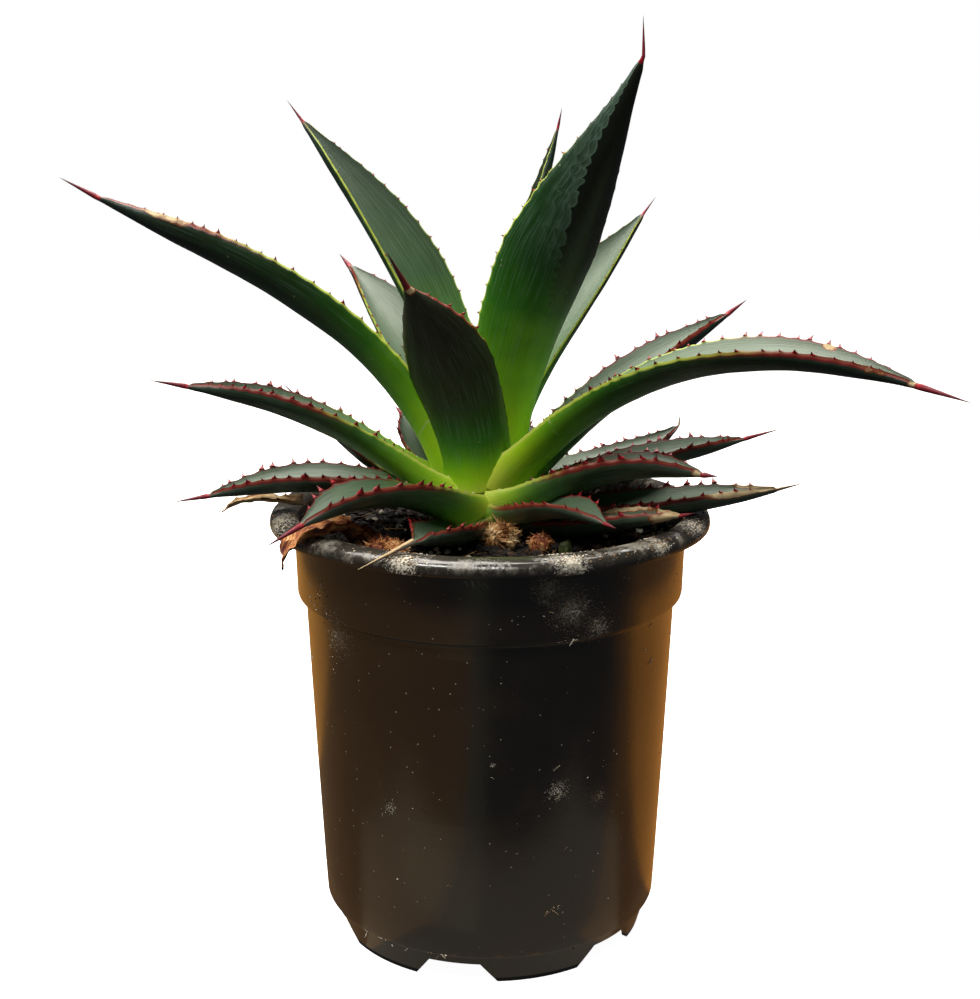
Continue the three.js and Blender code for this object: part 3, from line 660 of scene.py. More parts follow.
# %% Pot: spin the section
POT_SECTION = [
    (0.0, 10.6), (30, 10.6), (52, 10.6), (58.0, 10.4), (59.2, 9.8), (56.9, 0.3), (57.3, 0.0),
    (58.8, 0.0), (59.3, 0.35), (62.45, 11.2), (62.7, 11.7), (63.3, 12.1), (64.1, 12.5), (64.45, 13.1),
    (65.1, 25.0), (67.2, 70.0), (69.0, 112.0), (69.75, 130.6), (70.0, 131.8), (70.9, 132.7),
    (72.0, 133.1), (72.6, 133.6), (72.85, 134.5), (73.25, 150.0), (73.4, 157.5), (73.5, 160.9),
    (74.1, 161.8), (75.2, 162.1), (79.0, 162.0), (80.1, 161.7), (80.7, 160.9), (80.9, 160.0),
    (81.25, 159.65), (81.9, 159.6), (82.35, 159.85), (82.5, 160.4), (82.4, 161.9), (81.9, 163.2),
    (80.9, 164.3), (79.4, 165.0), (77.2, 165.35), (75.4, 165.3), (73.9, 164.9), (72.7, 164.1),
    (71.9, 163.0), (71.6, 161.5), (71.45, 150.0), (71.2, 136.4), (70.9, 135.2), (70.0, 134.2),
    (68.8, 133.4), (68.2, 132.2), (67.6, 112.0), (65.7, 70.0), (63.6, 25.0), (62.95, 15.0),
    (62.5, 13.4), (61.3, 12.5), (59.5, 12.3), (30, 12.3), (0.0, 12.3),
]
TURN_STEPS = 144

start_clean()
bpy.ops.mesh.primitive_plane_add(size=0.01)
pot = bpy.context.object
pot.name = "nursery_pot"
bpy.ops.object.mode_set(mode="EDIT")
bpy.ops.mesh.select_all(action="SELECT")
bpy.ops.mesh.delete(type="VERT")
bpy.ops.object.mode_set(mode="OBJECT")
section = [(r * MM, 0.0, z * MM) for r, z in POT_SECTION]
pot.data.from_pydata(section, [(i, i + 1) for i in range(len(section) - 1)], [])
bpy.ops.object.mode_set(mode="EDIT")
bpy.ops.mesh.select_all(action="SELECT")
bpy.ops.mesh.spin(steps=TURN_STEPS, angle=math.tau, center=(0, 0, 0), axis=(0, 0, 1))
bpy.ops.mesh.select_all(action="SELECT")
bpy.ops.mesh.remove_doubles(threshold=0.00002)
bpy.ops.mesh.normals_make_consistent(inside=False)
bpy.ops.object.mode_set(mode="OBJECT")
print("pot shell:", len(pot.data.vertices), "vertices")

# %% Pot: notches and drain holes
FIRST_NOTCH = 257.8
NOTCH_COUNT = 6


def wedge(name, low, high, foot, top, inner, outer):
    """A block that narrows upwards, made from a cube in edit mode, reaching out along +X."""
    start_clean()
    bpy.ops.mesh.primitive_cube_add(size=1.0)
    block = bpy.context.object
    block.name = name
    for corner in block.data.vertices:
        half = low if corner.co.z < 0 else high
        corner.co = Vector((
            (outer if corner.co.x > 0 else inner) * MM,
            math.copysign(half, corner.co.y) * MM,
            (top if corner.co.z > 0 else foot) * MM,
        ))
    return block


# Half width at the foot and at the top, lowest and highest z, inner and outer radius.
CUTS = {"notches": (17.6, 9.5, -3, 8.4, 40, 75), "drains": (8, 8, 7.9, 13.9, 50, 61.0)}
for name, sizes in CUTS.items():
    blocks = []
    for k in range(NOTCH_COUNT):
        block = wedge(f"{name}_{k}", *sizes)
        block.data.transform(Matrix.Rotation(math.radians(FIRST_NOTCH + k * 360 / NOTCH_COUNT), 4, "Z"))
        blocks.append(block)
    select_only(*blocks)
    bpy.ops.object.join()
    cutter = bpy.context.object
    select_only(pot)
    cut = pot.modifiers.new(name, "BOOLEAN")
    cut.operation = "DIFFERENCE"
    cut.solver = "EXACT"
    cut.object = cutter
    bpy.ops.object.modifier_apply(modifier=name)
    bpy.data.objects.remove(cutter)
print("pot after the cuts:", len(pot.data.polygons), "faces")
finish_piece(pot, "pot", pot_plastic, angle=32)

# %% [markdown]
# ## The rosette's measures
#
# Every leaf of an agave has the same plan: a rib that leaves the stem steeply and bends outwards, a
# channelled blade that is thick at its root and tapers to a spine, and teeth along both margins.
# What differs is where it starts, how far it reaches and how it is turned, so each leaf is one row
# of a table: the way its root faces, its root's height, its climb there, the distance and height of
# its tip, the climb at its tip, its width, the half angle of its channel and its spine's length. The
# solids were made from the same measures, so each finished leaf lies where its solid is.

# %% The leaf table
STEM = Vector((-4.0, 0.0, 0.0))
STEM_PROFILE = [
    (58, 3), (75, 6), (110, 9), (146, 13), (158, 19), (166, 17.5), (174, 13.5), (182, 9), (188, 4.5),
]
COLUMNS = ("azimuth", "root", "rise", "reach", "top", "arrive", "width", "fold", "spine")
# After the nine measures come the few that only some leaves have: swing turns the tip from the
# root's way, point and sideways give the spine its own way, twist turns the blade and slim narrows
# it. The rest is finish: red is where the margin turns maroon, green stretches the pale foot with
# its painted glow, bloom and under are the wax on the upper and the lower face, shade is painted
# shade that darkens the blade towards brown, teeth scales its teeth, needle is the spine's radius,
# print places the bud print, dry lists (along, across, size, strength) patches and scar the places
# of rubbed lines.
LEAVES = {
    "leaf_heart": (15, 184, 84, 31, 310, 76, 17, 75, 6,
                   {"red": 1.2, "green": 1.6, "teeth": 0.6, "needle": 0.5, "bloom": 0.3}),
    "leaf_tall_right": (306, 180, 77, 78, 337, 60, 37, 34, 12,
                        {"swing": 6, "point": 92, "twist": -30, "slim": 0.3, "red": 1.2, "green": 1.5,
                         "teeth": 0.5, "needle": 0.6, "bloom": 0.35, "print": -0.38}),
    "leaf_upper_left": (140, 178, 92, 73, 313, 50, 29, 44, 8,
                        {"swing": 25, "red": 1.2, "green": 1.4, "teeth": 0.4, "needle": 0.5, "bloom": 0.5}),
    "leaf_back_right_upper": (35, 178, 72, 84, 277, 44, 25, 44, 8,
                              {"twist": 20, "red": 1.0, "green": 1.1, "teeth": 0.4, "needle": 0.5, "bloom": 0.9}),
    "leaf_facing": (262, 176, 68, 60, 263, 46, 34, 36, 16,
                    {"swing": -22, "point": 46, "red": 0.66, "green": 0.7, "teeth": 0.75, "shade": 0.3,
                     "dry": [(0.99, -0.3, 0.035, 1.0)]}),
    "leaf_long_left": (198, 175, 70, 147, 286, 27, 29, 40, 13,
                       {"twist": 15, "swing": -12, "red": 0.68, "green": 1.35, "teeth": 0.6, "shade": 0.75,
                        "dry": [(0.85, 1.0, 0.07, 0.72), (0.85, -1.0, 0.07, 0.72)], "scar": [(0.13, 0.5)]}),
    "leaf_back_left_upper": (128, 174, 68, 94, 253, 28, 32, 36, 8, {"red": 0.8, "teeth": 0.6}),
    "leaf_long_right": (338, 174, 51, 177, 218, -15, 33, 40, 16,
                        {"swing": -6, "red": 0.62, "green": 1.3, "teeth": 0.75, "shade": 0.8,
                         "dry": [(0.99, 0.6, 0.02, 0.85), (0.8, -1.0, 0.02, 0.9), (0.9, 1.0, 0.05, 0.5)],
                         "scar": [(0.17, -0.6)]}),
    "leaf_back_upper": (72, 173, 55, 86, 238, 35, 30, 40, 10, {"red": 0.7, "teeth": 0.8}),
    "leaf_right_behind": (20, 171, 42, 111, 238, 30, 30, 42, 9, {"red": 0.45, "green": 0.6, "teeth": 0.8}),
    "leaf_mid_left": (195, 170, 36, 119, 217, 10, 28, 44, 12,
                      {"red": 0.5, "green": 1.5, "teeth": 0.85, "under": 0.2}),
    "leaf_back_mid": (104, 169, 44, 88, 212, 24, 30, 38, 10, {"red": 0.5, "green": 0.7, "teeth": 0.8}),
    "leaf_left_behind": (160, 167, 12, 82, 207, 38, 18, 42, 10, {"red": 0.4, "green": 0.5}),
    "leaf_back_left_lower": (125, 167, 36, 60, 194, 20, 28, 36, 5, {"red": 0.4, "green": 0.5}),
    "leaf_back_right_lower": (40, 168, 6, 109, 187, 28, 27, 38, 4.5,
                              {"point": 82, "red": 0.5, "green": 0.4, "under": 0.5, "needle": 0.5,
                               "pale_spine": True, "dry": [(1.07, 0.0, 0.09, 1.0)]}),
    "leaf_low_right": (328, 167, 26, 92, 184, -6, 32, 40, 5,
                       {"swing": 8, "red": 0.3, "green": 1.1, "under": 0.5, "shade": 0.7,
                        "dry": [(0.97, 0.9, 0.03, 0.8)]}),
    "leaf_right_far": (10, 165, 18, 118, 190, 12, 26, 42, 14, {"red": 0.2, "green": 0.4, "under": 0.5}),
    "leaf_back_low": (75, 165, 24, 87, 182, 6, 30, 38, 10, {"red": 0.2, "green": 0.5, "under": 0.4}),
    "leaf_low_left": (190, 166, 20, 113, 170.5, -10, 28, 40, 12,
                      {"red": 0.15, "green": 0.5, "under": 0.6, "dry": [(1.0, 0.0, 0.03, 0.75)]}),
    "leaf_front_left": (236, 166, 26, 101, 168, -18, 30, 40, 15,
                        {"swing": -10, "red": 0.3, "green": 0.9, "under": 0.45, "needle": 1.1,
                         "dry": [(1.0, 0.0, 0.035, 0.75)]}),
    "leaf_right_low": (350, 163, 0, 120, 178, 14, 27, 42, 9,
                       {"red": 0.12, "green": 0.3, "under": 0.6, "needle": 0.6, "pale_spine": True,
                        "dry": [(0.9, -1.0, 0.1, 1.0), (0.86, 1.0, 0.14, 1.0), (1.06, 0.0, 0.13, 1.0)]}),
    "leaf_front_right": (306, 164, 10, 79, 172, -8, 22, 46, 5, {"red": 0.1, "green": 0.5, "under": 0.8}),
    "leaf_right_lowest": (326, 160, -2, 90, 174, 14, 22, 46, 5,
                          {"red": 0.05, "green": 0.3, "under": 0.7,
                           "dry": [(0.93, -0.8, 0.12, 1.0), (0.6, -1.0, 0.28, 0.85), (0.95, 0.5, 0.14, 0.8)]}),
    "leaf_front_lowest": (254, 160, 2, 87, 161.5, 8, 25, 44, 20.7,
                          {"swing": -11, "point": -22, "sideways": -40, "red": 0.1, "green": 0.3, "under": 0.7,
                           "withered": True, "pale_spine": True, "needle": 1.15,
                           "dry": [(1.07, 0.0, 0.11, 1.0), (0.7, 1.0, 0.25, 0.5)]}),
}
# Curves over the way along the blade: the width's share, the thickness in millimetres, the channel's
# share and how much a slim leaf has narrowed.
OUTLINE = [
    (0, 1), (0.14, 0.84), (0.3, 0.9), (0.5, 1), (0.66, 0.86), (0.8, 0.56), (0.91, 0.24), (0.97, 0.09), (1, 0.05),
]
THICKNESS = [(0, 6.5), (0.15, 5.5), (0.5, 4), (0.85, 2.8), (0.96, 1.7), (1, 1.2)]
FOLDING = [(0, 1.5), (0.16, 1.15), (0.5, 1), (0.85, 1.35), (1, 1.9)]
SLIMMING = [(0.55, 0), (0.9, 1)]
print("leaves:", len(LEAVES))

# %% [markdown]
# ## A leaf's rib
#
# The rib is one Bezier curve: it leaves the root at one climb and reaches the blade's end at
# another. Walking it by equal lengths, not by equal parameter, keeps the rings of the skin evenly
# spaced. At each step the side direction is carried along with the curve, so the blade doesn't spin.

# %% Rib walk
PULL = 0.38  # how far the curve's handles reach, as a share of the blade's length


def heading(azimuth, climb):
    """A direction from its azimuth and its climb, in radians."""
    return Vector((math.cos(climb) * math.cos(azimuth), math.cos(climb) * math.sin(azimuth), math.sin(climb)))


def rib_ends(row):
    """The Bezier's four points, the spine's direction and its tip, in millimetres."""
    base = math.radians(row["azimuth"])
    end = base + math.radians(row.get("swing", 0))

    def at(azimuth, r, z):
        return Vector((STEM.x + r * math.cos(azimuth), STEM.y + r * math.sin(azimuth), z))

    start = row.get("from", smooth_through(STEM_PROFILE, row["root"]) - 3)
    root, tip = at(base, start, row["root"]), at(end, row["reach"], row["top"])
    point = heading(end + math.radians(row.get("sideways", 0)), math.radians(row.get("point", row["arrive"])))
    blade_end = tip - point * row["spine"]
    pull = (root - blade_end).length * PULL
    leave = root + heading(base, math.radians(row["rise"])) * pull
    arrive = blade_end - heading(end, math.radians(row["arrive"])) * pull
    return (root, leave, arrive, blade_end), point, tip


def bezier(points, t):
    """The place and the direction at parameter t."""
    a, b, c, d = points
    place = a * (1 - t) ** 3 + b * 3 * t * (1 - t) ** 2 + c * 3 * t * t * (1 - t) + d * t**3
    way = (b - a) * (1 - t) ** 2 + (c - b) * 2 * t * (1 - t) + (d - c) * t * t
    return place, way.normalized()


def even_walk(points, count):
    """count + 1 places at equal lengths along the curve, with directions, and the whole length."""
    fine = 400
    places = [bezier(points, i / fine)[0] for i in range(fine + 1)]
    travelled = [0.0]
    for i in range(fine):
        travelled.append(travelled[-1] + (places[i + 1] - places[i]).length)
    walk, j = [], 0
    for k in range(count + 1):
        goal = travelled[-1] * k / count
        while j < fine - 1 and travelled[j + 1] < goal:
            j += 1
        step = (goal - travelled[j]) / (travelled[j + 1] - travelled[j])
        walk.append(bezier(points, (j + step) / fine))
    return walk, travelled[-1]


print("climb of 45 degrees towards +X:", tuple(round(v, 3) for v in heading(0.0, math.radians(45))))


# %% [markdown]
# ## One tooth
#
# A marginal tooth is a small flattened thorn on a swollen foot, hooked a little. It is modelled
# once: a six-sided disc, extruded three times, drawn in and leant over each time. Hundreds of copies
# follow the margins, so it stays at a few dozen faces.

# %% Model the tooth
start_clean()
bpy.ops.mesh.primitive_circle_add(vertices=6, radius=1.0, fill_type="NGON")
tooth = bpy.context.object
tooth.name = "tooth_pattern"
bpy.ops.object.mode_set(mode="EDIT")
bpy.ops.mesh.select_all(action="SELECT")
for rise, lean, shrink in ((0.22, 0.0, 0.6), (0.33, 0.1, 0.5), (0.45, 0.28, 0.12)):
    bpy.ops.mesh.extrude_region_move(TRANSFORM_OT_translate={"value": (lean, 0, rise)})
    bpy.ops.transform.resize(value=(shrink, shrink, 1.0), center_override=(lean, 0, rise))
bpy.ops.mesh.select_all(action="SELECT")
bpy.ops.mesh.normals_make_consistent(inside=False)
bpy.ops.object.mode_set(mode="OBJECT")
TOOTH_POINTS = [v.co.copy() for v in tooth.data.vertices]
TOOTH_FACES = [tuple(p.vertices) for p in tooth.data.polygons]
bpy.data.objects.remove(tooth)
print("tooth:", len(TOOTH_FACES), "faces")

# %% [markdown]
# ## The leaf's skin
#
# No primitive has a leaf's shape, so the skin is lofted: at every step along the rib a ring of
# points goes over the channelled face from margin to margin and back underneath. Towards the end the
# ring shrinks to a round one, which runs on as the spine. The margin swells a little under each
# tooth. Each point also keeps the measures that the leaf material reads.

# %% Loft helpers
FACE_STEPS = 18
STEP_MM = 1.3
SPINE_STEP_MM = 0.8
TOOTH_REACH = 2.4  # how far from a tooth the margin swells, in millimetres
MARGIN_SHARE = 0.8  # the margin's swelling starts at this share of the half width
NO_PRINT = -9.0  # a bud print so far aside that it never shows
NO_SCAR = 9.0  # a scar too far away to show


def ease(low, high, x):
    """0 below low, 1 above high, and a smooth climb between."""
    u = min(max((x - low) / (high - low), 0.0), 1.0)
    return u * u * (3 - 2 * u)


def ring_layout():
    """The ring's stations: the share across, and whether it lies on the upper face."""
    upper = [(math.sin((2 * k / FACE_STEPS - 1) * math.pi / 2), True) for k in range(FACE_STEPS + 1)]
    under = [(t, False) for t, _ in reversed(upper[1:-1])]
    return upper + under


LAYOUT = ring_layout()


def place_teeth(row, length, draw):
    """For each margin, the teeth's places along the blade as shares, with their heights."""
    margins = {}
    scale = min(1.0, row["width"] / 30) * row.get("teeth", 1.0)
    for side in (-1, 1):
        teeth, s = [], 5.0 + 2.0 * draw.random()
        while s < length * 0.93:
            b = s / length
            grown = ease(0.12, 0.4, b) * (1 - 0.6 * ease(0.72, 0.95, b))
            height = max(0.8, (0.9 + 1.5 * grown) * scale) * (0.75 + 0.5 * draw.random())
            teeth.append((b, height))
            s += (2.5 + 3.4 * grown) * (0.65 + 0.7 * draw.random())
        margins[side] = teeth
    return margins


def keep_measures(measures, values):
    """Adds one point's value to each list of measures."""
    for measure, value in values.items():
        measures[measure].append(value)


def shown_along(row, b):
    """The way along as the colours read it: a green of 1.5 stretches the pale foot by half."""
    foot = 0.25 * row.get("green", 1.0)
    return b / row.get("green", 1.0) if b < foot else 0.25 + 0.75 * (b - foot) / (1 - foot)


def wax_amount(row, t, upper):
    """The bloom at a spot: each face has its own, and the margin is between them."""
    bloom, under = row.get("bloom", 0.8), row.get("under", 0.0)
    if abs(t) > 0.999:
        return (bloom + under) / 2
    return bloom if upper else under


def dryness(row, b, share, t):
    """How dry the skin is at a spot, from the leaf's own patches."""
    dry = 0.0
    for db, dt, size, strength in row.get("dry", []):
        gap = math.hypot((b + 0.12 * share - db) / size, (t - dt) / (0.25 if abs(dt) == 1 else 0.9))
        dry = max(dry, strength * (1 - ease(0.3, 1.4, gap)))
    return dry


def scar_distance(row, b, t, length, width, shift):
    """The distance to the nearest rubbed line in millimetres, never more than NO_SCAR."""
    nearest = NO_SCAR
    for sb, slant in row.get("scar", []):
        wave = 2.0 * noise.noise(Vector((t * 2.2, sb * 30, 0)) + shift)
        nearest = min(nearest, abs((b - sb) * length + slant * t * width / 2 + wave))
    return nearest


def loft_leaf(name, row, rough=0.25):
    """The closed skin of one leaf with its spine and teeth: points in millimetres, faces, measures."""
    draw = random.Random(name)
    points, faces = [], []
    measures = {measure: [] for measure in MEASURES}
    curve, point, tip = rib_ends(row)
    count = max(24, round((curve[0] - curve[3]).length / STEP_MM))
    walk, length = even_walk(curve, count)
    teeth = place_teeth(row, length, draw)
    shift = Vector((draw.uniform(-50, 50), draw.uniform(-50, 50), draw.uniform(-50, 50)))
    azimuth = math.radians(row["azimuth"])
    side = Vector((math.sin(azimuth), -math.cos(azimuth), 0.0))
    spine_steps = max(8, round(row["spine"] / SPINE_STEP_MM))
    stations = [(k / count, *walk[k], 0.0) for k in range(count + 1)]
    for k in range(1, spine_steps + 1):
        share = k / spine_steps
        bend = walk[-1][1].lerp(point, ease(0.0, 0.35, share)).normalized()
        stations.append((1.0, curve[3].lerp(tip, share), bend, share))
    margin_frames = {-1: [], 1: []}
    around = len(LAYOUT)

    for b, centre, along, share in stations:
        side = (side - along * side.dot(along)).normalized()
        turn = Matrix.Rotation(math.radians(row.get("twist", 0)) * b, 3, along)
        wide = turn @ side
        face = turn @ side.cross(along)
        slimmed = 1 - row.get("slim", 0) * smooth_through(SLIMMING, b)
        width = row["width"] * smooth_through(OUTLINE, b) * slimmed
        thick = smooth_through(THICKNESS, b) * (row["width"] / 30)
        curl = math.radians(min(row["fold"] * smooth_through(FOLDING, b), 82))
        radius = width / 2 / curl
        spine_radius = row.get("needle", 0.034 * row["width"]) * ((1 - share) * 0.94 + 0.06)
        rounding = ease(0.97, 1.0, b) if share == 0 else 1.0
        wither = row.get("withered") and ease(0.55, 0.95, b)
        swell = {}
        for hand in (-1, 1):
            swell[hand] = max([0.0] + [0.55 * h * max(0.0, 1 - abs(tb - b) * length / TOOTH_REACH) ** 2
                                       for tb, h in teeth[hand] if abs(tb - b) * length < TOOTH_REACH])
        red = ease(row["red"] - 0.12, row["red"] + 0.12, b)
        if row.get("pale_spine") and share > 0:
            red = 0.0
        for t, upper in LAYOUT:
            angle = t * curl
            body = math.sqrt(max(0.0, 1 - t * t))
            lift = 0.0 if upper else -thick * body
            out = radius - lift
            flat = wide * (out * math.sin(angle)) + face * (radius - out * math.cos(angle))
            tangent = wide * math.cos(angle) + face * math.sin(angle)
            if abs(t) > MARGIN_SHARE:
                hand = 1 if t > 0 else -1
                flat += tangent * (hand * swell[hand] * ((abs(t) - MARGIN_SHARE) / (1 - MARGIN_SHARE)) ** 2)
            spot = centre + flat
            # gentle swellings and the lengthwise ribs, which grow with the distance from the margin
            ridge = noise.noise(Vector((t * 9, b * 3, 0)) + shift) * 0.09
            broad, small = noise.noise(spot * 0.045 + shift), noise.noise(spot * 0.16 + shift)
            dimple = broad * rough * 1.6 + small * rough * 0.4
            outward = face * (1 if upper else -1)
            bead = 0.28 * red * ease(0.88, 0.96, abs(t)) * (1 - ease(0.985, 1.0, abs(t)))
            spot += outward * ((ridge + dimple) * body * (1 - rounding) + bead * (1 - rounding))
            if wither:
                spot += Vector((0, 0, 1)) * (noise.noise(spot * 0.35 + shift) * 0.9 * wither)
            # the round ring of the spine: its middle lies just over the channel's floor
            clock = math.pi * (t if upper else 2 - t) / 2
            circle = wide * (math.sin(clock) * spine_radius) + face * (math.cos(clock) * spine_radius)
            middle = centre - face * (thick * 0.35 * (1 - share))
            points.append(spot.lerp(middle + circle, rounding))
            horn = 0.6 * ease(0.985, 1.0, b) + 0.4 * share if b > 0.985 else 0.0
            keep_measures(measures, {
                "along": shown_along(row, b),
                "across": t,
                "bloom": wax_amount(row, t, upper),
                # painted shade, growing from an eighth of the way along to half way along the blade
                "shade": 1 - (1 - row.get("shade", 1.0)) * ease(0.12, 0.5, b),
                "print": NO_PRINT if upper else row.get("print", NO_PRINT),
                "horn": 0.0 if row.get("pale_spine") else horn,
                "red": max(red, ease(0.95, 1.0, b)),
                "dry": dryness(row, b, share, t),
                "scar": scar_distance(row, b, t, length, width, shift),
            })
        if share > 0:
            continue
        for hand in (-1, 1):
            angle = hand * curl
            edge = centre + wide * (radius * math.sin(angle)) + face * (radius - radius * math.cos(angle))
            outward = (wide * math.cos(angle) + face * math.sin(angle)) * hand
            margin_frames[hand].append((b, edge, outward, along, swell[hand], red))

    for i in range(len(stations) - 1):
        for k in range(around):
            a, n = i * around + k, i * around + (k + 1) % around
            faces.append((a, n, n + around, a + around))
    faces.append(tuple(reversed(range(around))))
    faces.append(tuple(range((len(stations) - 1) * around, len(stations) * around)))
    add_teeth(points, faces, measures, margin_frames, teeth, draw)
    return points, faces, measures


def add_teeth(points, faces, measures, margin_frames, teeth, draw):
    """Copies the tooth along both margins, in the margin's own frame."""
    for hand, frames in margin_frames.items():
        for b, height in teeth[hand]:
            near = min(frames, key=lambda frame: abs(frame[0] - b))
            _, edge, outward, along, swell, red = near
            lean = draw.uniform(-0.5, 0.35)
            up = (outward + along * lean).normalized()
            thin = up.cross(along).normalized()
            broad = height * draw.uniform(0.42, 0.6)
            start = len(points)
            age = ease(0.16, 0.34, b) * 0.8 + 0.2 * red
            for corner in TOOTH_POINTS:
                points.append(
                    edge + outward * (swell - 0.35) + along * (corner.x * broad)
                    + thin * (corner.y * broad * 0.5) + up * (corner.z * height)
                )
                keep_measures(measures, {
                    "along": b, "across": hand, "bloom": 0.4, "shade": 1.0, "print": NO_PRINT,
                    "horn": 0.1 + 0.9 * corner.z, "red": age, "dry": 0.0, "scar": NO_SCAR,
                })
            faces.extend(tuple(start + i for i in corner_ids) for corner_ids in TOOTH_FACES)


print("ring of a leaf:", len(LAYOUT), "points")

# %% [markdown]
# ## The rosette
#
# Every row of the table becomes one finished leaf. Its foot runs into the stem, and older leaves
# clasp the younger ones, as they do on the plant.

# %% Build the leaves
total = 0
for name, values in LEAVES.items():
    row = dict(zip(COLUMNS, values[:9])) | values[9]
    piece = new_piece(new_mesh(f"{name}_finished", *loft_leaf(name, row)))
    finish_piece(piece, name, leaf_skin, angle=60)
    total += len(piece.data.polygons)
print("leaf faces:", total)

# %% [markdown]
# ## Dry leaves
#
# Two old leaves have come away from the stem. One is rotted and crumpled over the rim, and one is a
# papery strip. "from" is how far from the stem's axis each starts. They use the same loft with a
# heavy crumple: a dried leaf keeps the plan of the living one and loses its water.

# %% Build the dry leaves
# Each leaf's row, its material and how many millimetres it is crumpled.
DRY_LEAVES = {
    "dead_leaf_over_rim": (
        (220, 161, 50, 88.5, 153, -82, 15, 30, 4, {"from": 52, "red": 2.0, "teeth": 0.6}), rust_leaf, 2.6,
    ),
    "dry_leaf_strip": (
        (187, 168, 4, 98, 163.5, -38, 8, 34, 3, {"from": 66, "red": 2.0, "teeth": 0.4}), dry_leaf, 0.9,
    ),
}
CRUMPLE_SEED = 7
noise.seed_set(CRUMPLE_SEED)  # a vector noise is seeded by the clock otherwise
for name, (values, skin_material, crumple) in DRY_LEAVES.items():
    row = dict(zip(COLUMNS, values[:9])) | values[9]
    points, faces, measures = loft_leaf(name, row)
    for i, p in enumerate(points):
        fold = noise.noise_vector(p * 0.22) * crumple + noise.noise_vector(p * 0.7) * crumple * 0.45
        points[i] = p + fold * (1 - 0.3 * measures["along"][i])
    piece = new_piece(new_mesh(f"{name}_finished", points, faces, measures))
    finish_piece(piece, name, skin_material, angle=50)
    print(name, len(piece.data.polygons), "faces")

# %% [markdown]
# ## The potting mix
#
# The mix fills the pot to a finger's breadth under the rim. Its body is one lumpy solid. What makes
# it look like mix is what lies on top: crumbs of bark and peat, a few grains of white perlite, and
# short fibres. Each is a copy of a small pattern with few faces, all joined to the body, and each
# carries a tint from black to white.

# %% Mix body
MIX_TURN = 120
BODY_TINT = 0.25


def mix_top(x, y):
    """The height of the mix in millimetres."""
    waves = math.sin(0.13 * x + 1) * math.cos(0.11 * y) + 0.6 * math.sin(0.29 * y + 0.21 * x)
    return 156 + 1.4 * waves


mix_points, mix_faces, mix_tints = [], [], []
# The body's side follows the pot's inside, then its top goes in ring by ring to the middle.
MIX_SIDE = [
    (2.0, 12.75), (59.5, 12.75), (62.0, 14.6), (65.3, 70.0), (67.3, 112.0), (67.85, 133.0),
    (70.4, 137.5), (70.7, 154.0),
]
TOP_RADII = (69.5, *range(67, 21, -3), 18, 13, 7, 2)
rings = MIX_SIDE + [(r, None) for r in TOP_RADII]
for r, z in rings:
    for k in range(MIX_TURN):
        place_at = on_round(r, math.tau * k / MIX_TURN, z or 0.0)
        if z is None:
            spot = place_at * 0.09
            lumps = 1.6 * noise.noise(spot * 2.2) + 0.9 * noise.noise(spot * 6.0)
            place_at.z = mix_top(place_at.x, place_at.y) + lumps
        mix_points.append(place_at)
        mix_tints.append(BODY_TINT)
for i in range(len(rings) - 1):
    for k in range(MIX_TURN):
        a, n = i * MIX_TURN + k, i * MIX_TURN + (k + 1) % MIX_TURN
        mix_faces.append((a, n, n + MIX_TURN, a + MIX_TURN))
mix_faces.append(tuple(reversed(range(MIX_TURN))))
mix_faces.append(tuple(range((len(rings) - 1) * MIX_TURN, len(rings) * MIX_TURN)))
print("mix body:", len(mix_faces), "faces")

# %% Crumb pattern and scattering
start_clean()
bpy.ops.mesh.primitive_ico_sphere_add(subdivisions=1, radius=1.0)
crumb_pattern = bpy.context.object  # one crumb, before it is knobbed
CRUMB_POINTS = [v.co.copy() for v in crumb_pattern.data.vertices]
CRUMB_FACES = [tuple(p.vertices) for p in crumb_pattern.data.polygons]
bpy.data.objects.remove(crumb_pattern)
draw = random.Random(7)
MIX_CRUMBS, PERLITE_GRAINS, MIX_FIBRES = 2600, 60, 220


def add_crumb(points, faces, tints, middle, size, tint, flat=0.7, long=1.0):
    """Adds one knobbly crumb, turned at random."""
    turn = Matrix.Rotation(draw.uniform(0, math.tau), 3, "Z") @ Matrix.Rotation(draw.uniform(-0.6, 0.6), 3, "X")
    start = len(points)
    for corner in CRUMB_POINTS:
        knob = draw.uniform(0.7, 1.2) * size
        local = Vector((corner.x * knob * long, corner.y * knob, corner.z * knob * flat))
        points.append(middle + turn @ local)
        tints.append(tint + draw.uniform(-0.05, 0.05))
    faces.extend(tuple(start + i for i in ids) for ids in CRUMB_FACES)


def add_fibre(points, faces, tints, start_point, way, length, thick, tint):
    """Adds one bent fibre: a three-sided tube of four steps."""
    base = len(points)
    bend = Vector((draw.uniform(-1, 1), draw.uniform(-1, 1), draw.uniform(-0.3, 0.6)))
    for k in range(5):
        share = k / 4
        centre = start_point + way * (length * share) + bend * (length * 0.25 * share * share)
        across = way.cross(Vector((0, 0, 1)))
        across = across.normalized() if across.length > 0.1 else Vector((1, 0, 0))
        up = across.cross(way).normalized()
        radius = thick * (1 - 0.6 * share)
        for j in range(3):
            angle = math.tau * j / 3
            points.append(centre + across * (radius * math.cos(angle)) + up * (radius * math.sin(angle)))
            tints.append(tint)
    for k in range(4):
        for j in range(3):
            a, b = base + 3 * k + j, base + 3 * k + (j + 1) % 3
            faces.append((a, b, b + 3, a + 3))
    faces.append((base + 2, base + 1, base))
    faces.append((base + 12, base + 13, base + 14))


def spot_on_mix(reach):
    """A random distance from the axis, evenly spread over a disc, and a random turn."""
    return reach * math.sqrt(draw.random()), draw.uniform(0, math.tau)


def over_mix(r, turn, lift):
    """A point this much over the mix, in millimetres."""
    x, y = r * math.cos(turn), r * math.sin(turn)
    return Vector((x, y, mix_top(x, y) + lift))


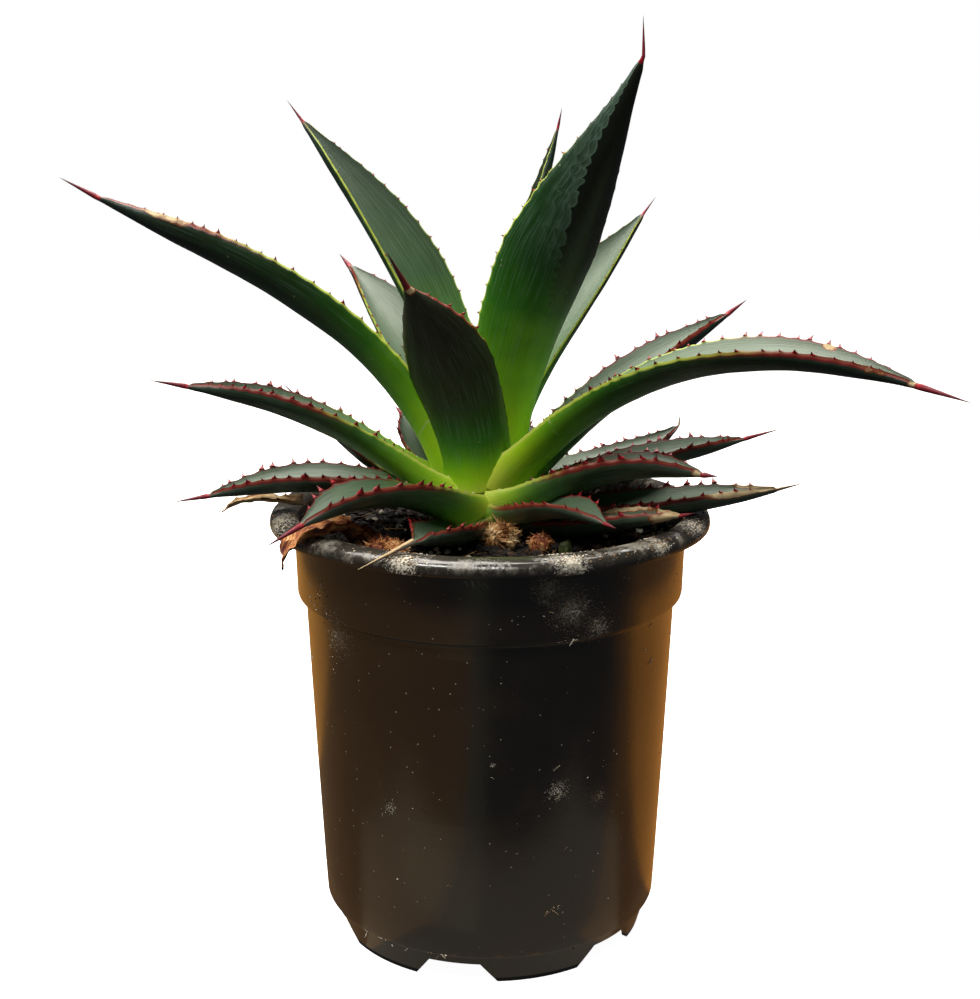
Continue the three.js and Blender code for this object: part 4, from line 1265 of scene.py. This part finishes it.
for _ in range(MIX_CRUMBS):
    r, turn = spot_on_mix(70)
    size = 0.5 + 1.5 * draw.random() ** 2.5
    tint = draw.choice((0.2, 0.22, 0.25, 0.3, 0.34, 0.42))
    middle = over_mix(min(r, 69.5 - size), turn, 0.5 * size + draw.uniform(0, 1.2))
    add_crumb(mix_points, mix_faces, mix_tints, middle, size, tint,
              flat=draw.uniform(0.5, 0.9), long=draw.uniform(1.0, 1.8))
for _ in range(PERLITE_GRAINS):
    r, turn = spot_on_mix(66)
    size = draw.uniform(0.7, 1.5)
    add_crumb(mix_points, mix_faces, mix_tints, over_mix(r, turn, 1.2 + 0.5 * size), size, 0.84)
for _ in range(MIX_FIBRES):
    r, turn = spot_on_mix(66)
    way = heading(draw.uniform(0, math.tau), draw.uniform(-0.1, 0.5))
    length = draw.uniform(3, 9)
    start_point = over_mix(r, turn, 1.0)
    if (start_point + way * (length * 1.3)).xy.length < 68:
        add_fibre(mix_points, mix_faces, mix_tints, start_point, way, length,
                  draw.uniform(0.14, 0.32), draw.uniform(0.5, 0.72))
print("mix with crumbs:", len(mix_faces), "faces")

# %% [markdown]
# ## Lime crusts and what watering washed out
#
# Hard water leaves crusts on the lip, and crumbs and fibres stick to the damp wall. They are the same
# crumbs and fibres as on the mix, strewn round a few known places with a bell-shaped spread.

# %% Crusts on the lip
LIP = [(73.6, 164.8), (75.4, 165.3), (77.2, 165.35), (79.4, 165.0), (80.9, 164.3), (81.9, 163.2)]
# Azimuth and spread in degrees, how many crumbs, and their tint.
CRUSTS = [
    (289, 5.0, 170, 0.92), (316, 5.0, 110, 0.84), (249, 6.0, 190, 0.8), (302, 16.0, 60, 0.7), (232, 10, 40, 0.66),
    (340, 18.0, 110, 0.68), (205, 18.0, 110, 0.7), (90, 40.0, 60, 0.6), (20, 20.0, 40, 0.6), (150, 20.0, 40, 0.6),
]
LIP_TOP = 165.0
for azimuth, spread, count, tint in CRUSTS:
    for _ in range(count):
        turn = math.radians(azimuth + draw.gauss(0, spread / 2))
        at = draw.uniform(0, len(LIP) - 1.001)
        (r0, z0), (r1, z1) = LIP[int(at)], LIP[int(at) + 1]
        share = at - int(at)
        r, z = r0 + (r1 - r0) * share, z0 + (z1 - z0) * share
        size = draw.uniform(0.2, 0.55)
        tone = max(0.3, min(0.95, tint + draw.uniform(-0.35, 0.15)))
        add_crumb(mix_points, mix_faces, mix_tints, on_round(r, turn, min(z, LIP_TOP)), size, tone, flat=0.6)
print("with crusts:", len(mix_faces), "faces")

# %% Bits stuck to the wall
WALL = [(0, 59.2), (12, 62.6), (12.6, 64.4), (132.3, 69.8), (133.5, 72.7), (158, 73.4)]
# Azimuth in degrees, height in millimetres, the spread of each, and how many crumbs and fibres.
STUCK = [
    (214, 140, 7, 12, 34, 4), (216, 118, 6, 9, 10, 0), (290, 29.7, 4, 2.0, 3, 8), (228, 12.2, 8, 0.5, 30, 9),
    (254, 12.3, 9, 0.4, 14, 4), (299, 11.5, 2, 1.2, 9, 2), (266.6, 156, 3, 1.5, 0, 4), (291, 134, 6, 2.0, 6, 3),
    (271, 85, 2, 5.0, 2, 0), (292, 146, 8, 7.0, 16, 6), (330, 120, 14, 30.0, 10, 2), (245, 60, 18, 36.0, 12, 2),
    (300, 60, 18, 36.0, 10, 2), (60, 90, 60, 50.0, 30, 4), (140, 90, 60, 50.0, 30, 4),
]
for azimuth, height, spread, rise, crumbs, fibres in STUCK:
    for index in range(crumbs + fibres):
        turn = math.radians(azimuth + draw.gauss(0, spread / 2))
        z = min(157.0, max(1.5, height + draw.gauss(0, rise / 2)))
        k = next(i for i, knot in enumerate(WALL) if knot[0] > z) - 1
        r = WALL[k][1] + (WALL[k + 1][1] - WALL[k][1]) * (z - WALL[k][0]) / (WALL[k + 1][0] - WALL[k][0])
        spot = on_round(r, turn, z)
        if index < crumbs:
            add_crumb(mix_points, mix_faces, mix_tints, spot, draw.uniform(0.22, 0.5),
                      draw.choice((0.62, 0.74, 0.84)))
        else:
            round_about = Vector((-math.sin(turn), math.cos(turn), 0.0))
            way = (round_about * draw.uniform(-1, 1) + Vector((0, 0, draw.uniform(-1, 0.4)))).normalized()
            add_fibre(mix_points, mix_faces, mix_tints, spot, way, draw.uniform(1.5, 4.0),
                      draw.uniform(0.2, 0.36), draw.choice((0.72, 0.78, 0.84)))

# %% Finish the mix
mix = new_piece(new_mesh("potting_mix_finished", mix_points, mix_faces, {"tint": mix_tints}))
finish_piece(mix, "potting_mix", mix_soil, angle=30)
print("mix piece:", len(mix.data.polygons), "faces")

# %% [markdown]
# ## Loose bits
#
# Bark chips, a wad of old fibres at the stem's foot, a scrap of green leaf and a twig lie on the
# mix. A fibrous wad is a knobbly core with many short fibres standing out of it.

# %% Build the loose bits
# Middle, half sizes, turn in degrees, slot, material, how many fibres and their length.
BITS = {
    "bark_chip_front_left": ((-36, -52, 161.0), (8, 5, 4.2), -20, "bark", rust_leaf, 200, 3.0),
    "bark_chip_front": ((18, -36, 159), (4.5, 3.5, 4), 15, "bark", rust_leaf, 90, 2.6),
    "green_leaf_scrap": ((27, -40, 158.6), (3, 2.2, 3.4), 40, "leaf_scrap", scrap_skin, 0, 0.0),
    "fibrous_leaf_base": ((4, -28, 159), (7.5, 4.5, 6), 28, "dry_leaf", dry_leaf, 230, 4.5),
    "bark_chip_back_left": ((-50, 42, 160.5), (7, 5, 5), 50, "bark", bark, 30, 2.0),
    "dry_twig": ((-47, -39, 160.5), (1.2, 6.5, 1.3), 18, "bark", bark, 0, 0.0),
}
for index, (name, values) in enumerate(BITS.items()):
    middle, half, turn, slot, skin_material, fibres, fibre_length = values
    start_clean()
    bpy.ops.mesh.primitive_ico_sphere_add(subdivisions=4, radius=1.0)
    piece = bpy.context.object
    piece.name = f"{name}_finished"
    spin = Matrix.Rotation(math.radians(turn), 3, "Z")
    centre = Vector(middle)
    points, tones, alongs = [], [], []
    for corner in piece.data.vertices:
        n = corner.co.normalized()
        knob = 1 + 0.16 * math.sin(4.1 * n.x + index) * math.cos(3.7 * n.y - 2 * index)
        crag = 1 + 0.16 * noise.noise(n * 3.0 + Vector((index * 7, 0, 0))) + 0.08 * noise.noise(n * 9.0)
        shape = Vector([component * h * knob * min(crag, 1.02) * 0.94 for component, h in zip(n, half)])
        points.append(centre + spin @ shape)
        tones.append(n.y)
        alongs.append(n.x)
    faces = [tuple(p.vertices) for p in piece.data.polygons]
    spare = [0.0] * len(points)
    for _ in range(fibres):
        n = Vector((draw.gauss(0, 1), draw.gauss(0, 1), abs(draw.gauss(0, 1)))).normalized()
        start = centre + spin @ Vector([component * h * 0.85 for component, h in zip(n, half)])
        stray = Vector((draw.gauss(0, 1), draw.gauss(0, 1), draw.gauss(0, 0.6)))
        way = (spin @ Vector((n.x, n.y, n.z * 0.8)) * 0.7 + stray).normalized()
        before = len(points)
        add_fibre(points, faces, spare, start, way, fibre_length * draw.uniform(0.4, 1.0),
                  draw.uniform(0.2, 0.5), 0.5)
        tones += [draw.uniform(-1, 1)] * (len(points) - before)
        alongs += [draw.uniform(-1, 1)] * (len(points) - before)
    piece.data = new_mesh(piece.name, points, faces, {"across": tones, "along": alongs})
    finish_piece(piece, name, skin_material, angle=40)
    print(name, len(piece.data.polygons), "faces")

# %% [markdown]
# ## Stem
#
# The stem's solid already has the right shape and hardly shows between the leaf feet, so the solid
# stays and gets the stem material.

# %% Stem finish
stem = bpy.data.objects["stem_and_roots"]
stem.data.materials.clear()
stem.data.materials.append(stem_skin)
print("stem keeps its solid")

# %% [markdown]
# ## Floor
#
# A white matt floor runs far back. It glows a little, so that it stays white up to the horizon, and
# it throws no light or reflection back up at the plant.

# %% Floor
start_clean()
bpy.ops.mesh.primitive_plane_add(size=12.0)
floor = bpy.context.object
floor.name = "studio_floor"
floor_matt, tree, shader = new_material("matt_white_floor")
here = add_node(tree, "ShaderNodeTexCoord").outputs["Object"]
cloud = add_node(tree, "ShaderNodeTexNoise", {"Vector": here, "Scale": 6.0, "Detail": 2.0})
tone = add_node(tree, "ShaderNodeValToRGB", {"Fac": cloud.outputs["Fac"]})
set_ramp(tone, [(0.3, "#eceae6"), (0.7, "#f4f2ef")])
tree.links.new(tone.outputs[0], shader.inputs["Base Color"])
shader.inputs["Roughness"].default_value = 0.8
shader.inputs["Emission Color"].default_value = (1.0, 1.0, 1.0, 1.0)
shader.inputs["Emission Strength"].default_value = 0.97
floor.data.materials.append(floor_matt)
floor.visible_diffuse = False
floor.visible_glossy = False
print("floor:", [round(side, 1) for side in floor.dimensions[:2]], "m")

# %% [markdown]
# ## Studio light
#
# The plant is lit as in a bright open studio. A very large soft light behind and over it gives the
# waxy upper faces their grey shine and leaves the undersides dark, and a narrow key high in front
# draws the sheen along the leaves that face the eye. The pot is nearly black, so what one sees of it
# is mostly what it mirrors: warm cards beside and behind it, and two small pale ones before it. The
# cards lie flat just over the floor, where the wall's slope mirrors them. They light only the pot, by
# light linking, so that they tint no leaf. The world is white to the eye and nearly dark to the
# plant.

# %% Lights
def area_light(name, place_at, aim, width, height, watts, colour):
    """A rectangular soft light at a place, aimed at a point."""
    lamp = bpy.data.lights.new(name, "AREA")
    lamp.shape = "RECTANGLE"
    lamp.size, lamp.size_y = width, height
    lamp.energy = watts
    lamp.color = linear(colour)[:3]
    holder = bpy.data.objects.new(name, lamp)
    holder.location = place_at
    holder.visible_camera = False
    holder.rotation_euler = (Vector(aim) - Vector(place_at)).to_track_quat("-Z", "Y").to_euler()
    bpy.context.scene.collection.objects.link(holder)
    return holder


area_light("sky_behind", (-0.15, 0.42, 1.20), (0, 0, 0.2), 1.6, 1.0, 38, "#fffaf2")
area_light("key_front", (-0.30, -0.70, 1.20), (0, 0, 0.18), 1.0, 0.22, 13, "#fffdf6")
# Name, place, size along X and along Y, watts and colour.
CARDS = (
    ("gold_card_right", (0.385, 0.34, 0.002), 0.68, 0.8, 0.42, "#e0901c"),
    ("gold_card_left", (-0.385, 0.12, 0.002), 0.68, 0.9, 0.46, "#e09a38"),
    ("gold_card_back_right", (0.22, 0.40, 0.003), 0.34, 0.8, 0.50, "#f0982a"),
    ("gold_card_back_left", (-0.24, 0.42, 0.003), 0.28, 0.6, 0.35, "#f0a030"),
    ("pale_card_front", (-0.06, -0.36, 0.002), 0.10, 0.54, 0.026, "#c8ccaa"),
    ("pale_card_foot", (0.0, -0.092, 0.002), 0.30, 0.11, 0.030, "#e0cdb0"),
)
mirrors = bpy.data.collections.new("mirrors_the_cards")
mirrors.objects.link(pot)
for name, place_at, width, height, watts, colour in CARDS:
    card = area_light(name, place_at, (place_at[0], place_at[1], 1.0), width, height, watts, colour)
    card.visible_diffuse = False  # the pot mirrors the card, and isn't lit by it
    card.light_linking.receiver_collection = mirrors
print("lights: a sky, a key and", len(CARDS), "mirrored cards")

# %% World and view
world = bpy.data.worlds.new("studio")
bpy.context.scene.world = world
world.use_nodes = True
tree = world.node_tree
tree.nodes.clear()
seen = add_node(tree, "ShaderNodeBackground", {"Color": (1.0, 1.0, 1.0, 1.0), "Strength": 1.0})
lit = add_node(tree, "ShaderNodeBackground", {"Color": linear("#eef3f5"), "Strength": 0.06})
path = add_node(tree, "ShaderNodeLightPath")
seen_or_lit = add_node(tree, "ShaderNodeMixShader", {
    0: path.outputs["Is Camera Ray"], 1: lit.outputs[0], 2: seen.outputs[0],
})
add_node(tree, "ShaderNodeOutputWorld", {"Surface": seen_or_lit.outputs[0]})
view = bpy.context.scene.view_settings
view.view_transform = "Standard"
view.look = "None"
view.exposure = 0.0
print("world:", world.name, "view:", view.view_transform)
